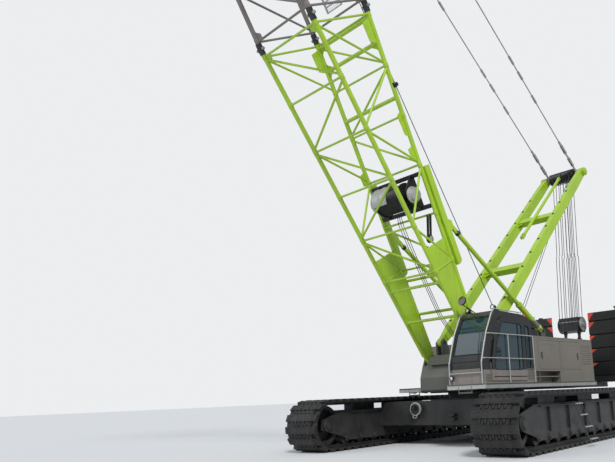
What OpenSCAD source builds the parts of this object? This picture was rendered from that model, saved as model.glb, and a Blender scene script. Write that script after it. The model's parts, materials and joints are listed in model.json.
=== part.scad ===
// Crawler crane: two tracks, a slewing upper deck with cab and machinery houses,
// a lattice boom held by a leaning mast and two pendants, and a hook block.
// +X points along the boom, +Y to the cab side, +Z up. The origin lies on the
// slewing axis at ground level. All sizes are in millimetres.

/* [Tracks] */
// Distance between the middles of the two tracks
gauge = 6200; // [5600:50:6800]
// Width of a track shoe
shoe_w = 1200; // [900:10:1400]
// Length of a track over its shoes
track_len = 10200; // [9000:50:11000]
// Height of a track over its shoes
track_h = 1450; // [1300:10:1600]
// Turn of the undercarriage against the boom
track_yaw = 7; // [-20:1:20]
// Number of shoes on a track
shoe_count = 68; // [60:1:76]
// Height of a shoe's pad above its web
pad_h = 70; // [40:5:90]
// Share of the pitch that a pad covers
pad_share = 0.62; // [0.5:0.01:0.8]
// Thickness of the web between the pads
web_t = 30; // [20:1:40]
// Height of the links inside the web
link_h = 60; // [40:5:80]
// Width of the link chain inside the web
link_w = 820; // [600:10:880]
// Height of the hinge knuckles between the pads
knuckle_h = 34; // [20:1:40]
// Width of the hinge knuckles between the pads
knuckle_w = 860; // [700:10:900]
// Width of a track frame
frame_w = 700; // [600:10:760]
// Thickness of a track frame's side plates
frame_t = 40; // [25:5:60]
// Radius of a track roller
roller_r = 170; // [140:5:190]
// Number of track rollers on a side
roller_count = 12; // [8:1:12]
// Radius of the idler wheel
idler_r = 560; // [520:5:562]
// Number of sprocket lobes
sprocket_teeth = 12; // [9:1:14]

/* [Carbody] */
// Length of the carbody box
carbody_len = 3000; // [2600:50:3400]
// Bottom of the carbody above the ground
carbody_z = 520; // [420:10:600]
// Top of the carbody above the ground
carbody_top = 1330; // [1250:10:1380]
// Length of a cross beam along the tracks
beam_l = 900; // [700:10:1000]
// Distance of the cross beams' middles from the slewing axis
beam_x = 1500; // [1300:10:1700]
// Radius of a jack's round foot
jack_r = 200; // [150:5:240]
// Distance of the jack feet from the middle line
jack_y = 1270; // [1100:10:1500]
// Height of the jack feet above the ground
jack_z = 1060; // [950:10:1100]
// Radius of the slewing ring
ring_r = 1220; // [1100:10:1300]
// Radius of a tow eye's hole
tow_r = 45; // [30:1:60]

/* [Deck] */
// Underside of the deck
deck_z = 1545; // [1530:5:1600]
// Top of the catwalks and cab floor
floor_z = 1690; // [1660:10:1760]
// Height of the deck's longitudinal girders
girder_h = 520; // [400:10:600]
// Distance of the girders' middles from the middle line
girder_y = 700; // [690:5:700]
// Width of a girder
girder_w = 160; // [120:10:200]
// Outer edge of the catwalks
walk_y = 2430; // [2420:10:2600]
// Thickness of a catwalk
walk_t = 130; // [80:5:140]
// Front end of the left catwalk
walk_x = 3200; // [3150:10:3400]
// Rear end of the deck
tail_x = -6950; // [-7200:10:-6900]

/* [Houses] */
// Front end of the machinery houses
house_x1 = 240; // [100:10:400]
// Rear end of the machinery houses
house_x0 = -3430; // [-3700:10:-3400]
// Outer side of the houses
house_y1 = 2050; // [1980:10:2150]
// Inner side of the houses
house_y0 = 1080; // [1060:10:1150]
// Top of the houses
house_z = 3080; // [2950:10:3200]
// Thickness of the house walls
wall_t = 40; // [25:5:60]
// Length of the step recess at a house's foot
step_len = 1380; // [1200:10:1400]
// Depth of the step recess
step_depth = 320; // [250:10:340]
// Height of the step recess above the catwalk
step_h = 330; // [280:10:350]
// Width of a house door
door_w = 1180; // [900:10:1250]
// Bottom of the house doors
door_z0 = 2090; // [2050:10:2200]
// Top of the house doors
door_z1 = 2960; // [2800:10:3000]
// Gap around a door
door_gap = 8; // [6:1:12]

/* [Cab] */
// Outer side of the cab
cab_y1 = 2310; // [2280:5:2360]
// Width of the cab
cab_w = 1165; // [1100:5:1165]
// Rear face of the cab
cab_x0 = 670; // [600:10:800]
// Front face of the cab at its foot
cab_x1 = 3080; // [2950:10:3120]
// Height of the cab
cab_h = 1980; // [1850:10:2100]
// Thickness of the cab walls
cab_t = 50; // [35:5:60]
// Thickness of the panes
glass_t = 12; // [8:1:16]
// Front edge of the sliding door
slide_x1 = 2560; // [2500:10:2600]
// Rear edge of the sliding door
slide_x0 = 1120; // [1080:10:1300]
// Run of the door to the rear
slide_run = 750; // [500:10:780]
// Gap between the door and the cab's side
slide_gap = 6; // [5:1:10]
// Height of the handrail beside the cab
rail_h = 1320; // [1100:10:1400]

/* [Boom] */
// Height of the boom foot pin
foot_z = 2540; // [2450:10:2650]
// Distance of the boom foot pin before the slewing axis
foot_x = 1470; // [1400:10:1550]
// Angle of the boom above the ground
boom_angle = 59; // [40:1:70]
// Length of the foot section
butt_len = 10400; // [9800:100:11000]
// Length of the middle section
insert_len = 9000; // [6000:100:10000]
// Length of the head section without its head
top_len = 8400; // [7800:100:9000]
// Distance between the chords' middles across the boom
boom_w = 2270; // [2100:10:2400]
// Distance between the chords' middles through the boom
boom_d = 2160; // [2000:10:2300]
// Distance across between the chords at the foot
foot_w = 2020; // [1980:10:2040]
// Distance through between the chords at the foot
foot_d = 340; // [300:10:400]
// Distance across between the chords at the head
head_w = 1240; // [1200:10:1300]
// Distance through between the chords at the head
head_d = 900; // [800:10:1000]
// Radius of a chord tube
chord_r = 65; // [55:1:75]
// Radius of a lacing tube
lace_r = 32; // [26:1:38]
// Length of a lacing bay
bay = 1450; // [1300:10:1600]
// Length of the plated foot of the boom
plate_len = 3650; // [3400:10:3800]
// Start of the lacing behind the plated foot
lace_s0 = 2950; // [2900:10:3000]
// Thickness of the boom's plates
plate_t = 24; // [16:1:30]
// Radius of the boom foot pin
foot_pin_r = 75; // [60:1:90]
// Start of the backstop rails along the boom
rail_s0 = 2750; // [2600:10:2900]
// End of the backstop rails along the boom
rail_s1 = 5750; // [5500:10:5900]
// Depth of the backstop rails
rail_d = 220; // [160:10:240]
// Radius of a head sheave
tip_r = 350; // [320:5:360]

/* [Mast] */
// Distance of the mast foot pin before the slewing axis
mast_x = 1020; // [980:10:1060]
// Height of the mast foot pin
mast_z = 3090; // [3060:10:3150]
// Length of the mast from foot pin to head shaft
mast_len = 10300; // [9800:50:10600]
// Angle of the mast above the ground ahead
mast_angle = 135.6; // [130:0.1:140]
// Distance between the legs' middles at the foot
mast_w0 = 1830; // [1800:10:1840]
// Distance between the legs' middles at the head
mast_w1 = 1660; // [1600:10:1700]
// Depth of a leg
leg_d = 360; // [300:10:400]
// Width of a leg
leg_w = 200; // [160:10:200]
// Radius of the sheaves in the mast head
mast_sheave_r = 250; // [200:5:280]
// Length of the lifting strut between the legs
strut_len = 4100; // [3800:50:4300]

/* [Hoist fall] */
// Number of rope parts in the boom hoist fall
parts_of_line = 12; // [8:2:12]
// Distance between the rope parts
part_pitch = 66; // [62:1:70]
// Radius of a rope part
rope_r = 12; // [10:1:13]
// Place of the lower block's link pin along the deck
block_x = -5850; // [-5950:10:-5750]
// Height of the lower block's link pin
block_z = 3300; // [3200:10:3400]
// Height of the block's middle above its link pin
block_rise = 640; // [600:10:660]
// Radius of the block's round end plates
block_r = 300; // [260:5:320]
// Length of rope that stays with the lower block
low_fall = 2600; // [2550:10:2650]

/* [Backstops] */
// Place of the backstop foot pins along the deck
stop_x = -1800; // [-1850:10:-1750]
// Height of the backstop foot pins
stop_z = 3400; // [3380:10:3450]
// Distance of the backstops from the middle line
stop_y = 1120; // [1115:1:1130]
// Place of the backstops' upper pins along the boom
stop_s = 3900; // [3800:10:4000]
// Height of the backstops' upper pins above the boom's middle line
stop_n = 860; // [840:10:900]
// Length of a sleeve
sleeve_len = 1380; // [1340:10:1450]
// Outer radius of a sleeve
sleeve_r = 98; // [90:1:100]
// Radius of a backstop tube
stop_r = 70; // [60:1:75]
// Length of the rod inside a sleeve and its tube
stop_rod_len = 3600; // [3400:50:3650]

/* [Counterweight] */
// Front face of the stacks
weight_x1 = -5740; // [-5800:10:-5650]
// Rear face of the stacks
weight_x0 = -6900; // [-7000:10:-6850]
// Inner side of the stacks at their front
weight_y0 = 800; // [790:10:900]
// Distance by which the inner side leans outwards to the rear
weight_lean = 700; // [500:10:800]
// Outer side of the stacks
weight_y1 = 2980; // [2800:10:3100]
// Underside of the lowest slab
weight_z0 = 1900; // [1880:10:1950]
// Heights of the slabs from the lowest to the top one
slab_h = 520; // [480:5:540]
// Height of the top slab
top_slab_h = 350; // [300:5:400]
// Number of full slabs in a stack
slab_count = 4; // [2:1:4]
// Gap between slabs
slab_gap = 0.3; // [0.2:0.1:0.6]

/* [Winches] */
// Radius of the hoist drums over their rope
drum_r = 330; // [280:5:360]
// Length of the hoist drums between their flanges
drum_len = 900; // [700:10:940]
// Thickness of a drum flange
flange_t = 40; // [25:1:50]
// Place of the main hoist drum
main_drum_x = -1000; // [-1100:10:-900]
// Place of the second hoist drum
second_drum_x = -2060; // [-2100:10:-1980]
// Place of the boom hoist drum
boom_drum_x = -4300; // [-4500:10:-4200]
// Height of the drums' middles
drum_z = 2560; // [2500:10:2620]
// Place of the winch inside the boom
boom_winch_s = 5120; // [5100:10:5150]
// Height of that winch above the boom's middle line
boom_winch_n = 330; // [300:10:360]
// Radius of the winch drum inside the boom
boom_winch_r = 330; // [280:5:350]

/* [Hook] */
// Length of the ropes between the head sheaves and the hook block
hook_drop = 2900; // [2600:50:3200]
// Radius of the hook block's sheaves
hook_sheave_r = 330; // [300:5:360]
// Radius of the hook's mouth
hook_mouth_r = 95; // [80:1:110]
// Thickness radius of the hook
hook_bar_r = 52; // [40:1:60]

/* [Hidden] */

fine = 48;
coarse = 24;
lime = "#8fce2b";
black = "#1b1c1d";
pale = "#b9bab4";
house_grey = "#85827a";
steel = "#6e6f70";
tiny = 0.3;

end_x = (track_len - track_h) / 2;
loop_r = track_h / 2;
base_r = loop_r - pad_h;
inner_r = base_r - web_t - link_h;
track_y = gauge / 2;
loop_run = 4 * end_x + 2 * PI * base_r;
shoe_pitch = loop_run / shoe_count;
frame_in_y = track_y - frame_w / 2;
ring_gap = 0.5;
ring_top = deck_z;
ring_split = carbody_top + 110;

cab_z = floor_z + tiny;
cab_y0 = cab_y1 - cab_w;
cab_top = cab_z + cab_h;

slab_top = weight_z0 + slab_count * (slab_h + slab_gap) + top_slab_h;

boom_foot = [foot_x, 0, foot_z];
mast_foot = [mast_x, 0, mast_z];
insert_s = butt_len;
top_s = butt_len + insert_len;
head_s = top_s + top_len;
tip_s = head_s + 300;
tip_n = -900;
pendant_s = head_s + 450;
pendant_n = 900;

// A point of the boom's side view, s along it and n above its middle line
function on_boom(s, n) = [
    foot_x + s * cos(boom_angle) - n * sin(boom_angle), 0,
    foot_z + s * sin(boom_angle) + n * cos(boom_angle)];
// A point of the mast's side view, s along it and n towards the deck
function on_mast(s, n) = [
    mast_x + s * cos(mast_angle) - n * sin(mast_angle), 0,
    mast_z + s * sin(mast_angle) + n * cos(mast_angle)];
mast_head = on_mast(mast_len, 0);
tip_axis = on_boom(tip_s, tip_n);
tip_shaft_r = 65;
jib_s = head_s + 480;
jib_n = -80;
jib_r = 40;
// The middle of the boom hoist fall's lower block
fall_lean = atan2(mast_head[0] - block_x, mast_head[2] - block_z);
fall_len = norm(mast_head - [block_x, 0, block_z]);
stop_foot = [stop_x, 0, stop_z];
stop_head = on_boom(stop_s, stop_n);
stop_reach = norm(stop_head - stop_foot);
stop_angle = atan2(stop_head[2] - stop_z, stop_head[0] - stop_x);
pendant_a = mast_head;
pendant_b = on_boom(pendant_s, pendant_n);

// Basic forms

// A round bar between two points
module bar(a, b, r, fn = coarse) {
    d = b - a;
    l = norm(d);
    translate(a) rotate([0, acos(d[2] / l), atan2(d[1], d[0])]) cylinder(r = r, h = l, $fn = fn);
}

// A flat plate standing along X and Z, given by its outline, from y0 to y1
module plate(outline, y0, y1) {
    translate([0, y1, 0]) rotate([90, 0, 0]) linear_extrude(y1 - y0) polygon(outline);
}

// A shaft or bore along Y through x and z
module shaft(x, z, r, y0, y1, fn = fine) {
    translate([x, y1, z]) rotate([90, 0, 0]) cylinder(r = r, h = y1 - y0, $fn = fn);
}

// A block given by its low and high corners
module block(lo, hi) {
    translate(lo) cube(hi - lo);
}

// The same thing on both sides of the middle plane
module both_sides() {
    children();
    mirror([0, 1, 0]) children();
}

// The undercarriage's own frame, turned against the boom
module on_tracks() {
    rotate([0, 0, track_yaw]) children();
}

module on_boom_frame() {
    translate(boom_foot) rotate([0, -boom_angle, 0]) children();
}

module on_mast_frame() {
    translate(mast_foot) rotate([0, -mast_angle, 0]) children();
}

// A turned wheel on an axle along Y: profile of [radius, y] points
module wheel(x, z, profile) {
    translate([x, 0, z]) rotate([90, 0, 0]) rotate_extrude($fn = 64) polygon(profile);
}

// A rope sheave's half section, r outside, w wide, with a groove
function sheave_profile(r, w, bore, y) = [
    [bore, y - w / 2], [r, y - w / 2], [r - w * groove, y - w * 0.12],
    [r - w * groove, y + w * 0.12], [r, y + w / 2], [bore, y + w / 2]];

// Tracks

// A point on the track loop: u along the base line, off outwards from it
function loop_point(u, off) =
    let (run = 2 * end_x, arc = PI * base_r, v = (u + loop_run) % loop_run, r = base_r + off)
    v < run ? [-end_x + v, -r] :
    v < run + arc ? let (a = -90 + (v - run) / base_r * 180 / PI) [end_x + r * cos(a), r * sin(a)] :
    v < 2 * run + arc ? [end_x - (v - run - arc), r] :
    let (a = 90 + (v - 2 * run - arc) / base_r * 180 / PI) [-end_x + r * cos(a), r * sin(a)];

// The shoes' outline: one pad and one gap at each pitch
// Columns: place along the pitch, height above the web
shoe_profile = [
    [(1 - pad_share) / 2, 0],
    [(1 - pad_share) / 2 + 0.04, pad_h],
    [(1 + pad_share) / 2 - 0.04, pad_h],
    [(1 + pad_share) / 2, 0]];

function shoe_outline() = [
    for (i = [0 : shoe_count - 1], p = shoe_profile) loop_point((i + p[0]) * shoe_pitch, p[1])];

// A smooth closed line round both end wheels
function stadium(r, steps = 14) = concat(
    [for (i = [0 : steps]) let (a = -90 + i * 180 / steps) [end_x + r * cos(a), r * sin(a)]],
    [for (i = [0 : steps]) let (a = 90 + i * 180 / steps) [-end_x + r * cos(a), r * sin(a)]]);

module ring_plate(outer, inner, w) {
    translate([0, w / 2, loop_r]) rotate([90, 0, 0]) linear_extrude(w)
        polygon(concat(outer, inner), paths = [
            [for (i = [0 : len(outer) - 1]) i],
            [for (i = [0 : len(inner) - 1]) len(outer) + i]]);
}

module track() {
    color(black) {
        ring_plate(shoe_outline(), stadium(base_r - web_t), shoe_w);
        ring_plate(stadium(base_r + knuckle_h, 22), stadium(inner_r), link_w);
    }
}

module track_left() on_tracks() translate([0, track_y, 0]) track();
module track_right() on_tracks() translate([0, -track_y, 0]) track();

// Side plates with round ends that carry the end wheels and the rollers
roller_z = loop_r - inner_r + roller_r + tiny;
frame_plate = [
    [-end_x - 220, loop_r - 120], [-end_x + 600, loop_r - 330], [-end_x + 900, roller_z - 60],
    [end_x - 900, roller_z - 60], [end_x - 600, loop_r - 330], [end_x + 220, loop_r - 120],
    [end_x + 220, loop_r + 160], [end_x - 700, loop_r + 400], [-end_x + 700, loop_r + 400],
    [-end_x - 220, loop_r + 160]];
frame_core_z0 = roller_z + roller_r + 40;
frame_core_x = end_x - 720;

module track_frame() {
    color(black) difference() {
        union() {
            for (y = [-frame_w / 2, frame_w / 2 - frame_t]) plate(frame_plate, y, y + frame_t);
            block([-frame_core_x, -frame_w / 2 + frame_t, frame_core_z0],
                [frame_core_x, frame_w / 2 - frame_t, loop_r + 400]);
            // Rails that the upper run of the track slides on
            for (x = [-2600, 0, 2600]) block([x - 500, -180, loop_r + 400],
                [x + 500, 180, loop_r + inner_r - tiny]);
        }
        for (x = [-end_x, end_x]) shaft(x, loop_r, 90 + tiny, -frame_w, frame_w);
    }
}

module track_frame_left() on_tracks() translate([0, track_y, 0]) track_frame();
module track_frame_right() on_tracks() translate([0, -track_y, 0]) mirror([0, 1, 0]) track_frame();

roller_gauge = 2 * (frame_core_x - 100) / (roller_count - 1);
roller_w = frame_w - 2 * frame_t - 2 * tiny;

module rollers() {
    color(black) for (i = [0 : roller_count - 1]) wheel(-frame_core_x + 100 + i * roller_gauge, roller_z, [
        [0, -roller_w / 2], [60, -roller_w / 2], [60, -roller_w / 2 + 30], [roller_r, -roller_w / 2 + 30],
        [roller_r, -90], [roller_r - 50, -80], [roller_r - 50, 80], [roller_r, 90],
        [roller_r, roller_w / 2 - 30], [60, roller_w / 2 - 30], [60, roller_w / 2], [0, roller_w / 2]]);
}

module rollers_left() on_tracks() translate([0, track_y, 0]) rollers();
module rollers_right() on_tracks() translate([0, -track_y, 0]) rollers();

module idlers() {
    color(black) on_tracks() for (y = [-track_y, track_y]) translate([0, y, 0]) wheel(end_x, loop_r, [
        [0, -frame_w / 2 - 40], [90, -frame_w / 2 - 40], [90, -230], [170, -230], [190, -60], [430, -60],
        [450, -240], [idler_r, -240], [idler_r, 240], [450, 240], [430, 60], [190, 60],
        [170, 230], [90, 230], [90, frame_w / 2 + 40], [0, frame_w / 2 + 40]]);
}

// A lobed wheel: tooth tips and roots alternate round the rim
function lobes(n, r0, r1) = [for (i = [0 : n - 1], k = [0 : 3])
    let (a = (i + [0, 0.28, 0.5, 0.78][k]) * 360 / n, r = k < 2 ? r1 : r0) [r * cos(a), r * sin(a)]];

module sprockets() {
    color(black) on_tracks() for (side = [-1, 1]) translate([-end_x, side * track_y, loop_r]) {
        rotate([90, 0, 0]) {
            for (y = [-170, 60]) translate([0, 0, y]) linear_extrude(110)
                polygon(lobes(sprocket_teeth, idler_r - 85, idler_r));
            translate([0, 0, -250]) cylinder(r = 330, h = 500, $fn = fine);
            translate([0, 0, -frame_w / 2 - 40]) cylinder(r = 90, h = frame_w + 80, $fn = fine);
        }
        // The final drive's round housing outside the frame
        rotate([-90 * side, 0, 0]) translate([0, 0, frame_w / 2 + tiny]) {
            cylinder(r = 300, h = 120, $fn = fine);
            cylinder(r = 210, h = 190, $fn = fine);
        }
    }
}

// Carbody

// Half outline of the carbody box seen from above
carbody_plan = [
    [carbody_len / 2, -900], [carbody_len / 2, 900], [900, carbody_len / 2 + 50], [-900,
        carbody_len / 2 + 50],
    [-carbody_len / 2, 900], [-carbody_len / 2, -900], [-900, -carbody_len / 2 - 50], [900,
        -carbody_len / 2 - 50]];

tow_x = beam_x + beam_l / 2 + 90;
tow_z = carbody_z + 290;

module carbody() {
    color(black) on_tracks() difference() {
        union() {
            translate([0, 0, carbody_z]) linear_extrude(carbody_top - carbody_z) polygon(carbody_plan);
            for (x = [-beam_x, beam_x]) block([x - beam_l / 2, -frame_in_y, carbody_z + 60],
                [x + beam_l / 2, frame_in_y, carbody_top - 40]);
            translate([0, 0, carbody_top]) cylinder(r = ring_r - 40, h = ring_split - carbody_top, $fn = 96);
            // Tow forks on the front and rear faces, for an upright pin
            for (s = [-1, 1]) for (z = [-60, 60]) block([s > 0 ? tow_x - 91 : -tow_x - 70,
                -110, tow_z + z - 25], [s > 0 ? tow_x + 70 : -tow_x + 91, 110, tow_z + z + 25]);
        }
        for (s = [-1, 1]) translate([s * tow_x, 0, tow_z - 150]) cylinder(r = tow_r, h = 300, $fn = fine);
        translate([0, 0, carbody_z - 1]) cylinder(r = 420, h = ring_split, $fn = fine);
    }
}

module jack_feet() {
    color(pale) on_tracks() for (s = [-1, 1], y = [-jack_y, jack_y])
        translate([s * (beam_x + beam_l / 2), y, jack_z])
        rotate([0, s * 90, 0]) {
            translate([0, 0, tiny]) cylinder(r = 90, h = 130, $fn = coarse);
            translate([0, 0, 130]) cylinder(r = jack_r, h = 45, $fn = fine);
            translate([0, 0, 175]) cylinder(r = jack_r * 0.45, h = 18, $fn = coarse);
        }
}

// Deck

girder_top = deck_z + girder_h;
run_gap = 6;
boss_w = 120;
lug_t = 55;
lug_in = foot_w / 2 - boss_w / 2 - run_gap;
lug_out = foot_w / 2 + boss_w / 2 + run_gap;
mast_lug_t = 60;
mast_lug_y = mast_w0 / 2;
mast_boss_w = 150;
mast_pin_r = 60;
stop_pin_r = 45;
stop_eye_w = 80;
stop_post_t = 40;
link_pin_r = 45;
link_y = 300;
link_w2 = 60;
front_box_x = foot_x + 380;
front_box_z = foot_z - 180;
front_box_y = 1130;
front_box_rear = 500;
mid_box_y = 760;
outrigger_x = [-3250, -1330, 420, 1650];
walk_plate_t = 45;
outrigger_top = floor_z - walk_plate_t - tiny;
base_t = 60;
girder_drop = 40;
girder_in = girder_y - girder_w / 2 - tiny;

// The turntable: slewing ring seat, base plate, girders and outriggers
module deck_frame() {
    color(house_grey) difference() {
        union() {
            translate([0, 0, ring_split + ring_gap]) cylinder(r = ring_r, h = deck_z - ring_split, $fn = 96);
            block([-1500, -front_box_y, deck_z], [front_box_x, front_box_y, deck_z + base_t]);
            // Girders, which run on below the base plate as flat strips
            for (y = [-1, 1]) {
                block([tail_x + 60, y * girder_y - girder_w / 2, deck_z - girder_drop],
                    [front_box_rear - tiny, y * girder_y + girder_w / 2, girder_top]);
                block([front_box_rear - 1, y * girder_y - girder_w / 2, deck_z - girder_drop],
                    [front_box_x - 60, y * girder_y + girder_w / 2, deck_z + base_t / 2]);
            }
            // Cross plates between the girders
            for (x = [tail_x + 400, -4900, -3600, -2700, -1450, -420]) block(
                [x - 20, -girder_y, deck_z + base_t], [x + 20, girder_y, girder_top - 60]);
            // Outriggers that carry the catwalks
            for (x = outrigger_x, s = [-1, 1]) let (y1 = x > 0 ? walk_y - 75 : house_y1 - tiny) {
                if (x < front_box_rear) block([x - 60, s > 0 ? girder_y : -y1, deck_z],
                    [x + 60, s > 0 ? y1 : -girder_y, outrigger_top]);
                else if (s > 0) {
                    block([x - 60, girder_y, deck_z], [x + 60, y1, deck_z + base_t - 1]);
                    block([x - 60, front_box_y + tiny, deck_z], [x + 60, y1, outrigger_top]);
                }
            }
        }
        translate([0, 0, carbody_top]) cylinder(r = 380, h = 300, $fn = fine);
    }
}

// The box under the boom foot with the lugs for boom and mast
module front_box() {
    base = deck_z + base_t + tiny;
    color(house_grey) difference() {
        union() {
            plate([[front_box_rear, base], [front_box_x, base], [front_box_x, front_box_z - 380],
                [front_box_x - 130, front_box_z], [760, front_box_z], [front_box_rear, girder_top]],
                -front_box_y, front_box_y);
            // The rounded housing between the boom's feet
            plate([[640, front_box_z - 5], [front_box_x, front_box_z - 5], [front_box_x, front_box_z + 140],
                [front_box_x - 50, front_box_z + 240], [front_box_x - 150, front_box_z + 290],
                [700, front_box_z + 290], [640, front_box_z + 230]], -mid_box_y, mid_box_y);
            // Lugs for the boom foot pins
            for (y = [-lug_out - lug_t, -lug_in, lug_in - lug_t, lug_out])
                plate([[foot_x - 330, front_box_z - 5], [front_box_x - 130, front_box_z - 5],
                    [foot_x + 150, foot_z + 60], [foot_x, foot_z + 160], [foot_x - 150, foot_z + 60]], y,
                        y + lug_t);
            // Lugs for the mast foot pins
            for (s = [-1, 1], d = [-mast_boss_w / 2 - run_gap - mast_lug_t, mast_boss_w / 2 + run_gap])
                plate([[mast_x - 420, front_box_z - 5], [mast_x + 80, front_box_z - 5],
                    [mast_x + 130, mast_z], [mast_x, mast_z + 130], [mast_x - 130, mast_z]],
                    s * mast_lug_y + d, s * mast_lug_y + d + mast_lug_t);
        }
        for (s = [-1, 1]) {
            shaft(foot_x, foot_z, foot_pin_r + tiny, s * foot_w / 2 - 130, s * foot_w / 2 + 200);
            shaft(mast_x, mast_z, mast_pin_r + tiny, s * mast_lug_y - 160, s * mast_lug_y + 160);
        }
    }
}

// Posts for the backstops' feet and for the lower block's links
module deck_posts() {
    color(house_grey) difference() {
        union() {
            both_sides() {
                y0 = stop_y - stop_eye_w / 2 - run_gap;
                y1 = stop_y + stop_eye_w / 2 + run_gap;
                plate([[stop_x - 420, girder_top - 5], [stop_x + 420, girder_top - 5],
                    [stop_x + 120, stop_z - 60], [stop_x, stop_z + 100], [stop_x - 120, stop_z - 60]],
                    y0 - stop_post_t, y0);
                block([stop_x - 420, girder_y + girder_w / 2 + tiny, girder_top - 60],
                    [stop_x + 420, y0, girder_top]);
                block([stop_x - 130, y0 - 1, house_z + 5], [stop_x + 130, y1 + 1, house_z + 45]);
                plate([[stop_x - 130, house_z + 5], [stop_x + 130, house_z + 5], [stop_x + 110, stop_z],
                    [stop_x, stop_z + 100], [stop_x - 110, stop_z]], y1, y1 + stop_post_t - 10);
            }
            for (s = [-1, 1], d = [-link_w2 / 2 - run_gap - 50, link_w2 / 2 + run_gap])
                plate([[block_x - 420, girder_top - 205], [block_x + 420, girder_top - 205],
                    [block_x + 120, block_z], [block_x, block_z + 110], [block_x - 120, block_z]],
                    s * link_y + d, s * link_y + d + 50);
            block([block_x - 420, -girder_in, girder_top - 260], [block_x + 420, girder_in,
                girder_top - 200]);
        }
        for (s = [-1, 1]) shaft(stop_x, stop_z, stop_pin_r + tiny, s * stop_y - 150, s * stop_y + 150);
        shaft(block_x, block_z, link_pin_r + tiny, -500, 500);
    }
}

// The pins at the feet of boom, mast, backstops and lower block
module pivot_pins() {
    color(steel) for (s = [-1, 1]) {
        shaft(foot_x, foot_z, foot_pin_r, s * foot_w / 2 - 140, s * foot_w / 2 + 125);
        shaft(mast_x, mast_z, mast_pin_r, s * mast_lug_y - 155, s * mast_lug_y + 141);
        shaft(stop_x, stop_z, stop_pin_r, s * stop_y - 95, s * stop_y + 95);
        shaft(block_x, block_z, link_pin_r, s * link_y - 100, s * link_y + 100);
    }
}

// Catwalks: a plate with a skirt round its free edges
module catwalk(x1, y0) {
    difference() {
        block([house_x0, y0, floor_z - walk_t], [x1, walk_y, floor_z]);
        block([house_x0 + 60, y0 - 1, floor_z - walk_t - 1], [x1 - 60, walk_y - 60, floor_z - walk_plate_t]);
        block([house_x0 - 1, house_y1 + 60, floor_z - walk_t - 1], [0, walk_y + 1, floor_z + 1]);
    }
    block([house_x0, house_y1, floor_z - walk_t], [60, house_y1 + 60, floor_z]);
}

module catwalk_left() color(pale) catwalk(walk_x, front_box_y + tiny);
module catwalk_right() color(pale) mirror([0, 1, 0]) catwalk(1500, front_box_y + tiny);

// Houses

door_hinge_x = (house_x0 + house_x1) / 2 - 20 + 300;

// One machinery house on the left side
module house() {
    h0 = floor_z + tiny;
    step_x1 = house_x1 - 80;
    step_x0 = step_x1 - step_len;
    step_y = house_y1 - step_depth;
    step_z = floor_z + step_h;
    tread_z = floor_z + step_h / 2 - 5;
    difference() {
        block([house_x0, house_y0, h0], [house_x1, house_y1, house_z]);
        block([house_x0 + wall_t, house_y0 + wall_t, h0 + wall_t],
            [house_x1 - wall_t, house_y1 - wall_t, house_z - wall_t]);
        // Openings for the two doors
        for (x = [door_hinge_x - 50 - door_w, door_hinge_x + 50])
            block([x - door_gap, house_y1 - wall_t - 1, door_z0 - door_gap],
                [x + door_w + door_gap, house_y1 + 1, door_z1 + door_gap]);
        // The step recess below the front door
        block([step_x0, step_y, h0 - 1], [step_x1, house_y1 + 1, step_z]);
    }
    // The recess's own walls and tread
    difference() {
        block([step_x0 - 20, step_y - 20, h0], [step_x1 + 20, house_y1 - 1, step_z + 20]);
        block([step_x0, step_y, h0 - 1], [step_x1, house_y1 + 1, step_z]);
    }
    block([step_x0 + 20, step_y + 20, tread_z], [step_x1 - 20, house_y1 - 40, tread_z + 30]);
    for (x = [step_x0, step_x1 - 30]) block([x, step_y - 1, tread_z - 10], [x + 30, house_y1 - 40, tread_z]);
}

module house_left() color(house_grey) house();
module house_right() color(house_grey) mirror([0, 1, 0]) house();

// A door with a folded edge and a recessed handle, hinge at x = 0, leaf towards dir
module house_door(dir) {
    difference() {
        block([dir > 0 ? 0 : -door_w, house_y1 - wall_t, door_z0], [dir > 0 ? door_w : 0, house_y1,
            door_z1]);
        block([dir > 0 ? 30 : -door_w + 30, house_y1 - wall_t - 1, door_z0 + 30],
            [dir > 0 ? door_w - 30 : -30, house_y1 - 12, door_z1 - 30]);
        block([dir * (door_w - 140) - 35, house_y1 - 8, (door_z0 + door_z1) / 2 - 70],
            [dir * (door_w - 140) + 35, house_y1 + 1, (door_z0 + door_z1) / 2 + 70]);
    }
    for (z = [door_z0 + 60, (door_z0 + door_z1) / 2 - 60, door_z1 - 180])
        translate([0, house_y1 - door_gap, z]) cylinder(r = door_gap - tiny, h = 120, $fn = coarse);
    block([dir * (door_w - 140) - 10, house_y1 - 9, (door_z0 + door_z1) / 2 - 50],
        [dir * (door_w - 140) + 10, house_y1 + 14, (door_z0 + door_z1) / 2 + 50]);
}

module door_left_front() color(house_grey) translate([door_hinge_x + 50, 0, 0]) house_door(1);
module door_left_rear() color(house_grey) translate([door_hinge_x - 50, 0, 0]) house_door(-1);
module door_right_front() color(house_grey) mirror([0, 1, 0]) translate([door_hinge_x + 50, 0, 0])
    house_door(1);
module door_right_rear() color(house_grey) mirror([0, 1, 0]) translate([door_hinge_x - 50, 0, 0])
    house_door(-1);

// Cab

// The cab's side view, from the front foot upwards and round to the rear
function cab_side(in) = [
    [cab_x1 - in, cab_z + in], [cab_x1 - in, cab_z + 560], [cab_x1 - 140 - in, cab_z + 990],
    [cab_x1 - 280 - in, cab_z + 1370], [cab_x1 - 560 - in, cab_z + 1840 - in],
    [cab_x1 - 700 - in, cab_top - in], [cab_x0 + 500, cab_top - 40 - in], [cab_x0 + 60 + in,
        cab_top - 150 - in],
    [cab_x0 + in, cab_top - 260 - in], [cab_x0 + in, cab_z + in]];

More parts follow.
